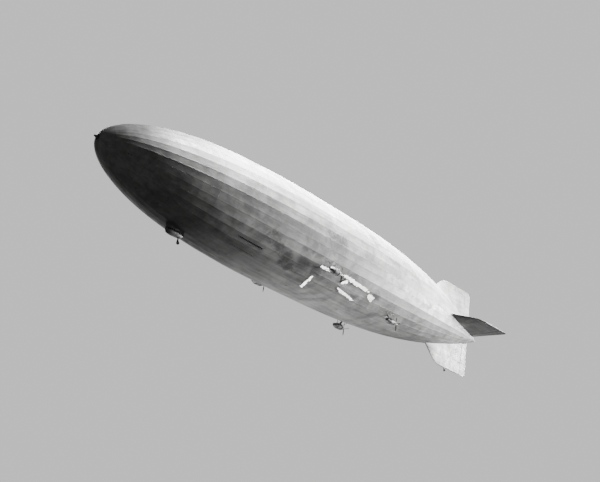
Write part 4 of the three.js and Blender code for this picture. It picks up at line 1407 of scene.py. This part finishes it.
# Control car
CAR = {"station": 206.5, "ahead": 3.6, "behind": 5, "half": 1.25, "corners": 24, "wall": 0.1}
CAR_LEVELS = [(-20.1, 0.7, 0.55), (-19.85, 0.84, 0.78), (-19.4, 0.94, 0.93), (-18.95, 1, 1)]
CAR_CURVE = spline(CAR_LEVELS, 5)
WINDOW = {"bottom": -18.9, "top": -18.0}
FLOOR = -19.75


def car_corners(inset=0.0):
    """Corners of the car's plan, moved in by a distance."""
    corners = []
    for c, s in circle(CAR["corners"]):
        corners.append(np.array([(CAR["ahead"] if c > 0 else CAR["behind"]) * c, CAR["half"] * s]))
    made = []
    for before, corner, after in zip(corners[-1:] + corners, corners, corners[1:] + corners):
        one, two = unit(corner - before), unit(after - corner)
        inward = unit(np.array([-one[1] - two[1], one[0] + two[0]]))
        made.append(corner + inward * inset / np.dot(inward, [-one[1], one[0]]))
    return made


def car_plan(inset=0.0):
    """The plan with each of its corners rounded a little."""
    corners, ease = car_corners(inset), 0.06
    made = []
    for before, corner, after in zip(corners[-1:] + corners, corners, corners[1:] + corners):
        made += [corner + ease * unit(before - corner), corner, corner + ease * unit(after - corner)]
    return made


def car_top(x):
    return -flat_radius(CAR["station"] + x)


def on_car(x, z, out):
    """A point of the car's port side, near a distance forward, at a level and off the shell."""
    long, wide = [float(np.interp(z, CAR_CURVE[:, 0], CAR_CURVE[:, i])) for i in (1, 2)]
    ring = sorted((a, b) for a, b in car_plan(-out) if b > 0)
    return (x, float(np.interp(x / long, *zip(*ring))) * wide, z)


def car_shell(form):
    """The lower body, closed below, and the band above the windows up to the hull."""
    levels = [*CAR_CURVE, (WINDOW["bottom"], 1, 1)]
    wall = CAR["wall"]
    outer, inner = [
        [[(x * long, y * wide, z) for x, y in plan] for z, long, wide in levels]
        for plan in (car_plan(), car_plan(wall))
    ]
    inner = [[(x, y, z + wall) for x, y, z in ring] for ring in inner[:-1]] + inner[-1:]
    form.add(loft(outer + inner[::-1]))
    bands = []
    for plan in (car_plan(), car_plan(wall)):
        levels = [[z] * len(plan) for z in (WINDOW["top"], WINDOW["top"] + 0.35)]
        levels.append([car_top(x) + 0.02 for x, _ in plan])
        bands.append([[(x, y, z) for (x, y), z in zip(plan, level)] for level in levels])
    form.add(closed_rings(bands[0] + bands[1][::-1]))


def car_windows(form):
    """Pillars between the windows, plain walls at the stern and a frame round each window."""
    wall, bar, middle = CAR["wall"], 0.035, (WINDOW["bottom"] + WINDOW["top"]) / 2
    height = WINDOW["top"] - WINDOW["bottom"]
    stern = (CAR["corners"] // 2 - 1, CAR["corners"] // 2)
    corners = car_corners()
    for i, (corner, inside) in enumerate(zip(corners, car_corners(wall))):
        centre = (corner + inside) / 2
        after = corners[(i + 1) % len(corners)] - corner
        for run in (after, corners[i - 1] - corner):
            turn = spin("Z", math.atan2(run[1], run[0]))
            place = (*(centre + unit(run) * bar), middle)
            form.box([0.08, wall, height + 0.04], edge=0.01, place=place, turn=turn)
        turn, span = spin("Z", math.atan2(after[1], after[0])), np.linalg.norm(after)
        if i in stern:
            place = (*(centre + after / 2), middle)
            form.box([span, wall * 0.9, height + 0.04], edge=0.01, place=place, turn=turn)
            continue
        run = unit(after)
        mid = corner + after / 2 + 0.012 * np.array([run[1], -run[0]])
        for z in (WINDOW["bottom"] + 0.02, WINDOW["top"] - 0.02):
            form.box([span - 0.1, bar, 0.05], edge=0.01, look=1, place=(*mid, z), turn=turn)
        for end in (-1, 1):
            place = (*(mid + run * end * (span / 2 - 0.08)), middle)
            form.box([bar, bar, height], edge=0.01, look=1, place=place, turn=turn)


def car_mouldings(form):
    """Mouldings round the car, the flange at the hull and the bumper rail with its stays."""
    for z, out in ((WINDOW["bottom"] - 0.08, 0.02), (WINDOW["top"] + 0.1, 0.02), (-17.55, 0.012)):
        form.pipe([(x, y, z) for x, y in car_plan(-out)], 0.03, 6, 1, looped=True)
    flange = [(x, y, car_top(x) - 0.03) for x, y in car_plan(-0.06)]
    form.pipe(flange, 0.09, 8, looped=True)
    rail = [(x * 0.9, y * 0.86, -19.62) for x, y in car_plan(-0.1)]
    form.pipe(rail, 0.028, 6, 2, looped=True)
    for x, y, z in rail[::6]:
        form.bar((x, y, z), (x * 0.93, y * 0.9, z), 0.018, 6, 2)


def car_door(form):
    """Outline of the door on the port side, aft, with its handle and hinges."""
    low, high, front, back = -19.62, WINDOW["top"] + 0.06, -3.05, -3.72
    outline = [(front, z) for z in np.linspace(low, high, 12)]
    outline += [(x, high) for x in np.linspace(front, back, 6)[1:]]
    outline += [(back, z) for z in np.linspace(high, low, 12)[1:]]
    outline += [(x, low) for x in np.linspace(back, front, 6)[1:-1]]
    form.pipe([on_car(x, z, 0.008) for x, z in outline], 0.02, 6, 1, looped=True)
    handle, x = -19.0, front - 0.09
    form.bar(on_car(x, handle, 0.05), on_car(x - 0.12, handle, 0.05), 0.018, 8, 1)
    form.bar(on_car(x, handle, 0.0), on_car(x, handle, 0.055), 0.015, 8, 1)
    for z in (-19.35, -18.1):
        form.bar(on_car(back, z - 0.06, 0.02), on_car(back, z + 0.06, 0.02), 0.022, 8, 1)


def control_car():
    form = Form()
    for part in (car_shell, car_windows, car_mouldings, car_door):
        part(form)
    # Search lamp under the front and aerial masts under the stern
    lamp_level = -19.95
    lamp = [(0, 0), (0, 0.12), (0.2, 0.16), (0.22, 0.15), (0.22, 0)]
    form.turned(lamp, 28, 1, place=(2.75, 0, lamp_level))
    lens = [(0, 0), (0, 0.14), (0.02, 0.13), (0.045, 0)]
    form.turned(lens, 28, 3, place=(2.97, 0, lamp_level))
    form.bar((2.8, 0, lamp_level), (2.6, 0, lamp_level + 0.35), 0.04, 10, 2)
    for y in (-0.35, 0.35):
        form.bar((-3.9, y, -19.3), (-4.3, y * 1.3, -20.0), 0.02, 8, 2, taper=0.5)
    looks, place = [PAINT, DURALUMIN, STEEL, CLEAR], (along(CAR["station"]), 0, 0)
    form.piece("control_car_shell", "ship", "painted_metal", looks, ["control_car"], place)


def helm_form():
    """A spoked wheel on a pedestal that carries a compass."""
    form = Form()
    height, x = 0.92, -0.22

    def spoke(c, s, start, end, radius, **shape):
        ends = [(x, reach * c, height + reach * s) for reach in (start, end)]
        form.bar(*ends, radius, 8, **shape)

    form.pipe([(x, y, height + z) for y, z in circle(32, 0.36)], 0.03, 8, looped=True)
    for c, s in circle(8):
        spoke(c, s, 0.05, 0.46, 0.014)
        spoke(c, s, 0.39, 0.47, 0.02, taper=0.7)
    hub = [(-0.28, 0), (-0.28, 0.06), (-0.24, 0.07), (-0.14, 0.05), (0, 0.05), (0, 0)]
    form.turned(hub, 20, 1, place=(0, 0, height))
    form.box([0.28, 0.22, 0.9], (0, 0, 0.47), 0.03)
    form.box([0.34, 0.28, 0.06], (0, 0, 0.03), 0.015)
    form.box([0.3, 0.25, 0.08], look=1, place=(0, 0, 0.95), turn=spin("Y", 0.35))
    form.turned([(0, 0), (0, 0.08), (0.02, 0.08), (0.02, 0)], 20, 2, "Z", place=(-0.02, 0, 0.99))
    return form


def chart_desk():
    form = Form()
    form.box([1.3, 0.6, 0.05], (0, 0, 0.855), 0.015)
    form.box([1.16, 0.46, 0.12], (0, 0, 0.765), 0.01)
    form.box([0.62, 0.42, 0.008], (0.15, 0, 0.884), 0.003, 1)
    leg = [(0, 0.03), (0.1, 0.04), (0.2, 0.03), (0.6, 0.038), (0.72, 0.045)]
    leg_x, leg_y = 0.57, 0.22
    for x in (-leg_x, leg_x):
        for y in (-leg_y, leg_y):
            form.turned(leg, 16, axis="Z", place=(x, y, 0))
        form.bar((x, -leg_y, 0.18), (x, leg_y, 0.18), 0.018, 8)
    return form


def hull_ladder():
    form = Form()
    half = 0.22
    for y in (-half, half):
        form.bar((0, y, 0), (0, y, 2), 0.03, 12)
    for z in np.arange(1, 7) * 0.32:
        form.bar((0, -half, z), (0, half, z), 0.02, 10, wide=1.5)
        for y in (-half, half):
            form.bar((0, y - 0.025, z), (0, y + 0.025, z), 0.036, 10)
    return form


def car_fittings():
    base, deck = along(CAR["station"]), FLOOR + 0.003
    helm = helm_form().mesh("helm", [WALNUT, BRASS, BRIGHT], 34)
    for name, x, y, angle in (("rudder", 2.2, 0, 0), ("elevator", 0.9, 0.48, math.pi / 2)):
        place = (base + x, y, deck)
        put_piece(f"{name}_wheel", helm, "ship", [f"{name}_helm"], place, angle)
    place = (base - 0.9, -0.42, deck)
    desk_looks = [PLYWOOD, LINEN]
    chart_desk().piece("chart_desk", "ship", "plywood", desk_looks, ["chart_table"], place)
    place = (base - 3, 0, deck)
    hull_ladder().piece("hull_ladder", "ship", "duralumin", [DURALUMIN], ["car_ladder"], place)
    repaint("car_glazing", GLASS)
    repaint("car_floor", PLYWOOD)


control_car()
car_fittings()


# Promenade windows and stairs
def promenade(side, name):
    """Frames, bars and mouldings of a strip of windows."""
    facet = facet_frame(PROMENADE["to"], side * PROMENADE["clock"])
    length, high = PROMENADE["to"] - PROMENADE["from"], PROMENADE["height"]
    panes = 16
    step = length / panes
    form = Form()
    for i in range(panes + 1):
        wide = 0.2 if i in (0, panes) else 0.13
        x = min(max(i * step, wide / 2), length - wide / 2)
        form.box([wide, high, 0.09], (x, 0, 0.04), 0.012, **facet)
    for y in (-1, 1):
        form.box([length, 0.26, 0.11], (length / 2, y * (high / 2 - 0.13), 0.035), 0.015, **facet)
        lip = (length / 2, y * (high / 2 + 0.02), -0.012)
        form.box([length + 0.16, 0.06, 0.05], lip, 0.012, **facet)
    for i in range(panes):
        form.box([step - 0.1, 0.03, 0.05], ((i + 0.5) * step, 0.1, 0.05), 0.008, **facet)
    form.piece(f"promenade_frames_{name}", "ship", "duralumin", [DURALUMIN])
    repaint(f"promenade_glazing_{name}", PANE)


def stairs(side, name):
    """Skinned plate, trussed stringers, treads and folded hand rails, in the facet's frame."""
    facet = facet_frame(STAIRS["station"], side * STAIRS["clock"])
    start, length, width, depth = 0.06, STAIRS["length"], STAIRS["width"], STAIRS["depth"]
    long, middle = length - start, (length + start) / 2
    braces, bay, brace_start = 15, 0.25, 0.3
    form = Form()
    form.box([long, width, 0.05], (middle, 0, 0.025), 0.01, **facet)
    for y in (-1, 1):
        rim = (middle, y * (width / 2 - 0.025), 0.05)
        form.box([long, 0.05, 0.09], rim, 0.01, 1, **facet)
    for x in np.linspace(start + 0.05, length - 0.05, 6):
        form.box([0.05, width - 0.06, 0.05], (x, 0, 0.07), 0.01, 1, **facet)
    for y in (-1, 1):
        side_y = y * (width - 0.05) / 2
        for z in (0.09, depth - 0.02):
            form.box([braces * bay, 0.045, 0.04], (2.125, side_y, z), 0.008, 1, **facet)
        for i in range(braces):
            low, after = [(brace_start + k * bay, side_y, 0.1) for k in (i, i + 1)]
            high = (low[0] + 0.12, side_y, depth - 0.03)
            form.bar(low, high, 0.016, 6, 1, **facet)
            form.bar(high, after, 0.016, 6, 1, **facet)
        ends = [(x, side_y * 0.9, depth - 0.035) for x in (0.5, 3.9)]
        form.bar(*ends, 0.014, 8, 2, **facet)
    tread = facet["turn"] @ spin("Y", -math.radians(STAIRS["slope"]))
    for i in range(10):
        place = facet["place"] + facet["turn"] @ [0.45 + i * 0.36, 0, 0.2]
        form.box([0.24, width - 0.1, 0.024], edge=0.006, look=1, place=place, turn=tread)
        for y in np.linspace(-0.42, 0.42, 9):
            form.box([0.2, 0.012, 0.01], (0, y, -0.016), 0.003, 1, place=place, turn=tread)
        form.bar((0.118, -0.49, 0), (0.118, 0.49, 0), 0.016, 8, 2, place=place, turn=tread)
    body, looks = f"boarding_stairs_{name}", [COVER_CLOTH, DURALUMIN, BRIGHT]
    form.piece(f"stairs_{name}_frame", body, "duralumin", looks, [f"stairs_{name}"])


def stair_wells():
    """Ribbed lining of the wells that the stairs fold into, with a lamp in each ceiling."""
    form = Form()
    length, half, top = WELL["length"], WELL["width"] / 2, 1.7
    board, off, rim = 0.04, 0.022, 0.08
    middle, high = (top + rim) / 2, top - rim
    sides = [(length / 2, y * (half + off), middle) for y in (1, -1)]
    parts = [([length + rim, board, high], side, 0) for side in sides]
    parts += [([board, 2 * half, high], (x, 0, middle), 0) for x in (-off, length + off)]
    parts.append(([length + rim, 2 * half + rim, board], (length / 2, 0, top), 0))
    parts.append(([0.5, 0.3, 0.05], (2.1, 0, top - 0.04), 2))
    for x in 0.25 + 0.63 * np.arange(7):
        parts += [([0.06, 0.02, high], (x, y * (half - 0.008), middle), 1) for y in (-1, 1)]
        parts.append(([0.06, 2 * half, 0.03], (x, 0, top - 0.03), 1))
    parts += [([length, 0.02, 0.08], (length / 2, y * (half - 0.008), 0.6), 1) for y in (-1, 1)]
    for side in (1, -1):
        facet = facet_frame(STAIRS["station"], side * STAIRS["clock"])
        for sizes, centre, look in parts:
            form.box(sizes, centre, 0.006, look, **facet)
    form.piece("stair_well_lining", "ship", "plywood", [PLYWOOD, DURALUMIN, CLEAR])


for side, name in ((1, "port"), (-1, "starboard")):
    promenade(side, name)
    stairs(side, name)
stair_wells()


# Landing gear
GROUND = -22.4
WHEEL = 0.65
AXLE = GROUND + WHEEL
TRAIL = 0.28
LEG_BOTTOM = -20.85
FORK_HALF = 0.35
AXLE_HALF = 0.42
TREAD_EDGE = 0.45


def tyre_form():
    """Tread with shallow grooves, and a raised line on each side wall."""
    arc = []
    for i in range(33):
        angle = math.pi * i / 32
        radius = TREAD_EDGE + (WHEEL - TREAD_EDGE) * math.sin(angle) ** 0.7
        groove = 0.012 if 5 <= i <= 27 and i % 4 in (1, 2) else 0
        arc.append((0.25 * math.cos(angle), radius - groove))
    form = Form().turned([*arc, (-0.2, 0.36), (0.2, 0.36), arc[0]], 72, axis="Y")
    for side in (-1, 1):
        form.pipe([(x, side * 0.247, z) for x, z in circle(72, 0.5)], 0.008, 5, looped=True)
    return form


def rim_form():
    """Dished rim with bolts and bearing caps."""
    half = [
        (0.28, 0.072), (0.28, 0.12), (0.26, 0.13), (0.1, 0.15), (0.07, 0.2), (0.06, 0.28),
        (0.13, 0.33), (0.19, 0.345), (0.19, 0.357),
    ]
    other = [(-x, radius) for x, radius in half][::-1]
    form = Form().turned([*half, *other, half[0]], 56, axis="Y")
    cap = [(0, 0.06), (0, 0.11), (0.02, 0.1), (0.02, 0.06), (0, 0.06)]
    inner, outer = 0.0525, 0.09375
    for side in (-1, 1):
        for x, z in circle(8, 0.235):
            form.bar((x, side * inner, z), (x, side * outer, z), 0.018, 6, 1)
        form.turned(cap, 20, 1, "Y", place=(0, side * 0.27, 0))
    return form


def fork_form():
    """Swivel disc, crown and pin, and two trailing arms with an eye and a nut for the axle."""
    disc = [(-0.04, 0), (-0.04, 0.28), (-0.01, 0.3), (0.1, 0.3), (0.14, 0.26), (0.14, 0)]
    form = Form().turned(disc, 32, axis="Z", place=(0, 0, -21.04))
    form.box([0.3, 0.78, 0.1], (-0.03, 0, -20.97), 0.03)
    form.bar((0, 0, -21.0), (0, 0, -20.74), 0.115, 20, 1)
    path = spline([(-0.03, -20.96), (-0.1, -21.2), (-0.22, -21.5), (-TRAIL, AXLE)], 5)
    eye_ring = [(-0.055, 0), (-0.055, 0.1), (-0.04, 0.125), (0.04, 0.125), (0.055, 0.1), (0.055, 0)]
    nut = [(-0.03, 0), (-0.03, 0.07), (0.03, 0.07), (0.04, 0.05), (0.04, 0)]
    for side in (-1, 1):
        rings = []
        for (x, z), share in zip(path, np.linspace(0, 1, len(path))):
            deep, y = 0.15 - 0.05 * share, side * FORK_HALF
            rings.append([(x + deep * c, y + 0.045 * s, z + 0.25 * deep * c) for c, s in circle(16)])
        form.add(loft(rings))
        form.turned(eye_ring, 28, 0, "Y", place=(-TRAIL, side * FORK_HALF, AXLE))
        form.turned(nut, 6, 1, "Y", place=(-TRAIL, side * AXLE_HALF, AXLE))
    form.bar((-TRAIL, -AXLE_HALF, AXLE), (-TRAIL, AXLE_HALF, AXLE), 0.058, 16, 1)
    return form


def round_leg(top):
    """A turned column with a bolted flange at the hull and two drag struts."""
    bottom = LEG_BOTTOM
    column = [
        (bottom, 0.14), (bottom, 0.22), (bottom + 0.03, 0.24), (bottom + 0.12, 0.24),
        (bottom + 0.15, 0.2), (top - 0.2, 0.2), (top - 0.16, 0.23), (top - 0.1, 0.23),
        (top - 0.08, 0.33), (top - 0.003, 0.34), (top - 0.003, 0), (bottom + 0.14, 0),
        (bottom + 0.14, 0.14), (bottom, 0.14),
    ]
    form = Form().turned(column, 40, axis="Z")
    for x, y in circle(8, 0.285, 0.5):
        form.bar((x, y, top - 0.12), (x, y, top - 0.07), 0.022, 6, 1)
    for side in (-1, 1):
        foot = (-0.12, side * 0.16, bottom + 0.1)
        form.bar(foot, (-0.8, side * 0.3, top + 0.15), 0.03, 12, 1)
    return form


def long_leg(top):
    """A streamlined fairing with a bead at each end and a collar for the castor."""
    bottom = LEG_BOTTOM
    plan = [(1.1, 0.001), (1.02, 0.07), (0.8, 0.15), (0.2, 0.25), (-0.2, 0.24), (-0.6, 0.2), (-1.3, 0.012)]
    half = spline(plan, 4)
    outline = np.concatenate([half, (half * [1, -1])[-1:0:-1]])
    levels = [
        (bottom, 0.9), (bottom + 0.03, 0.99), (bottom + 0.1, 1), (top - 0.05, 1), (top + 0.02, 1),
    ]
    form = Form().add(loft([[(x * grow, y * grow, z) for x, y in outline] for z, grow in levels]))
    for z in (bottom + 0.08, top - 0.04):
        form.pipe([(x * 1.005, y * 1.03, z) for x, y in outline], 0.012, 5, 1, looped=True)
    collar = [(0, 0.14), (0, 0.2), (0.02, 0.2), (0.02, 0.14), (0, 0.14)]
    form.turned(collar, 28, 1, "Z", place=(0, 0, bottom))
    return form


def landing_gear():
    tyre = tyre_form().mesh("tyre", [RUBBER], 40)
    rim = rim_form().mesh("rim", [DURALUMIN, STEEL], 34)
    fork = fork_form().mesh("fork", [STEEL, BRIGHT], 36)
    for name, station, leg in (("front", 203.7, round_leg(-20.1)), ("tail", 27, long_leg(-20.6))):
        base = (along(station), 0, 0)
        hub = (base[0] - TRAIL, 0, AXLE)
        leg.piece(f"{name}_strut", "ship", "steel", [STEEL, DURALUMIN], [f"{name}_leg"], base)
        put_piece(f"{name}_yoke", fork, f"{name}_castor", [f"{name}_fork"], base)
        put_piece(f"{name}_rubber", tyre, f"{name}_wheel", [f"{name}_tyre"], hub)
        put_piece(f"{name}_disc", rim, f"{name}_wheel", [f"{name}_rim"], hub)


landing_gear()


# Small things on the hull
def skin_place(station, clock):
    """Place and turn on the cover: X forward, Y round to port, Z inwards."""
    facet = round(clock / 10) * 10
    out, across = outward(math.radians(facet)), around(math.radians(facet))
    radius = flat_radius(station)
    side = radius * math.tan(math.radians(clock - facet))
    normal = unit(out - [float(hull_slope(station)) * math.cos(HALF_SIDE), 0, 0])
    forward = unit(np.cross(across, normal))
    forward *= math.copysign(1, forward[0])
    place = np.array([along(station), 0, 0]) + radius * out + side * across
    return {"place": place, "turn": np.array([forward, across, -normal]).T}


def vent_hoods():
    """Hoods along the crown, and a side lamp on each flank."""
    form = Form()
    hood = [(1.1, 0.0), (1.0, 0.16), (0.6, 0.3), (0, 0.36), (-0.7, 0.33), (-0.75, 0.27), (-0.7, 0)]
    points, faces = lathe(hood, 24)
    for station in (52, 66, 81, 96, 111, 127, 143, 160, 176, 192, 207):
        for clock in (172, -172):
            form.add((points * [1, 1, 0.62], faces), **skin_place(station, clock))
    lamp = [(0.0, 0.09), (-0.06, 0.1), (-0.14, 0.07), (-0.17, 0)]
    for look, clock in ((1, 80), (2, -80)):
        form.turned(lamp, 20, look, "Z", **skin_place(148.5, clock))
    form.piece("vent_hoods", "ship", "painted_metal", [PAINT, RED, GREEN])


def small_windows():
    """A strip of windows low on each flank, and a pair at each side of the nose."""
    form = Form()

    def window(facet, x=0.0):
        form.box([0.5, 0.42, 0.07], (x, 0, 0), 0.02, 0, **facet)
        form.box([0.38, 0.3, 0.08], (x, 0, -0.005), 0.015, 1, **facet)

    for side in (1, -1):
        for i in range(14):
            window(skin_place(174.9 + i * 0.9, side * 27.2))
        for x in (-0.5, 0.5):
            window(skin_place(236.5, side * 62), x)
    form.piece("small_windows", "ship", "glazing", [DURALUMIN, PANE])


def keel_hatches():
    """Framed hatches along both sides of the keel, each with a handle."""
    form = Form()
    bars = ((0.6, 0, 0.06, 0.9), (-0.6, 0, 0.06, 0.9), (0, 0.45, 1.26, 0.06), (0, -0.45, 1.26, 0.06))
    low = [(station, 12) for station in (166, 150, 133, 118, 100, 84, 70, 48)]
    for side in (1, -1):
        for station, clock in [(228, 15), (219, 18), (196, 14)] + low:
            facet = skin_place(station, side * clock)
            for x, y, long, wide in bars:
                form.box([long, wide, 0.06], (x, y, 0), 0.015, 0, **facet)
            form.box([1.14, 0.84, 0.03], (0, 0, 0.004), 0.01, 1, **facet)
            form.box([0.16, 0.03, 0.05], (0.35, 0, -0.03), 0.01, 0, **facet)
    form.piece("keel_hatches", "ship", "duralumin", [DURALUMIN, COVER_CLOTH])


vent_hoods()
small_windows()
keel_hatches()


# Floor, backdrop and light
FLOOR_LEVEL = float(eye[2] - EYE[2] * SCALE)
FLOOR_HALF = 1500


def floor_object():
    """A pale floor that throws no light back on the ship."""
    mesh = bpy.data.meshes.new("floor")
    corners = ((-1, -1), (1, -1), (1, 1), (-1, 1))
    points = [(x * FLOOR_HALF, y * FLOOR_HALF, FLOOR_LEVEL) for x, y in corners]
    mesh.from_pydata(points, [], [(0, 1, 2, 3)])
    n = material_nodes("pale_floor", roughness=0.9)
    mesh.materials.append(n.finish(n.mix(n.noise(0.05, 3), grey(0.55), grey(0.6))))
    floor = bpy.data.objects.new("floor", mesh)
    bpy.context.scene.collection.objects.link(floor)
    floor.visible_diffuse = False
    floor.visible_glossy = False
    return floor


def area_light(name, place, target, size, power, spread, receivers):
    """A soft box that lights one collection of objects."""
    light = bpy.data.objects.new(name, bpy.data.lights.new(name, "AREA"))
    light.light_linking.receiver_collection = receivers
    light.data.shape = "RECTANGLE"
    light.data.size, light.data.size_y = size
    light.data.energy = power
    light.data.spread = math.radians(spread)
    light.location = place
    light.rotation_euler = (Vector(target) - Vector(place)).to_track_quat("-Z", "Y").to_euler()
    bpy.context.scene.collection.objects.link(light)


def backdrop():
    """World light that is paler in the direction that the camera looks in."""
    world = bpy.data.worlds.new("studio")
    bpy.context.scene.world = world
    n = Nodes(world, "Background")
    inputs = {0: n.places.outputs["Generated"], 1: tuple(-view_back)}
    toward = n.node("ShaderNodeVectorMath", inputs, operation="DOT_PRODUCT").outputs["Value"]
    n.put(n.shader["Color"], (1, 1, 1, 1))
    n.put(n.shader["Strength"], n.ramp(toward, 0.5, 0.88, 0.06, 0.75))


def collected(name, things):
    made = bpy.data.collections.new(name)
    for thing in things:
        made.objects.link(thing)
    return made


def studio():
    things = bpy.context.scene.objects
    ship = collected("lit_ship", [thing for thing in things if thing.type == "MESH"])
    torn = collected("lit_cloth", [things["torn_edges"], things["blown_cloth"]])
    ground = collected("lit_floor", [floor_object()])
    backdrop()
    area_light("top", (-1.5, 2.8, 8), (-1.5, 0, 0.6), (17, 2), 7500, 70, ship)
    area_light("stern_port", (-30, 12, 2), (2, 1, -0.5), (9, 9), 3800, 60, ship)
    area_light("starboard", (2, -14, 9), (0, 0, 0), (14, 4), 1500, 90, ship)
    area_light("keel", (-2, -2, -9), (-1, 0, -1), (9, 3), 130, 60, ship)
    area_light("torn_cloth", (14, 13, -8), (0.2, 1.5, -1.1), (3, 3), 600, 30, torn)
    area_light("floor_wash", (0, 0, 60), (0, 0, 0), (400, 400), 240000, 180, ground)


studio()
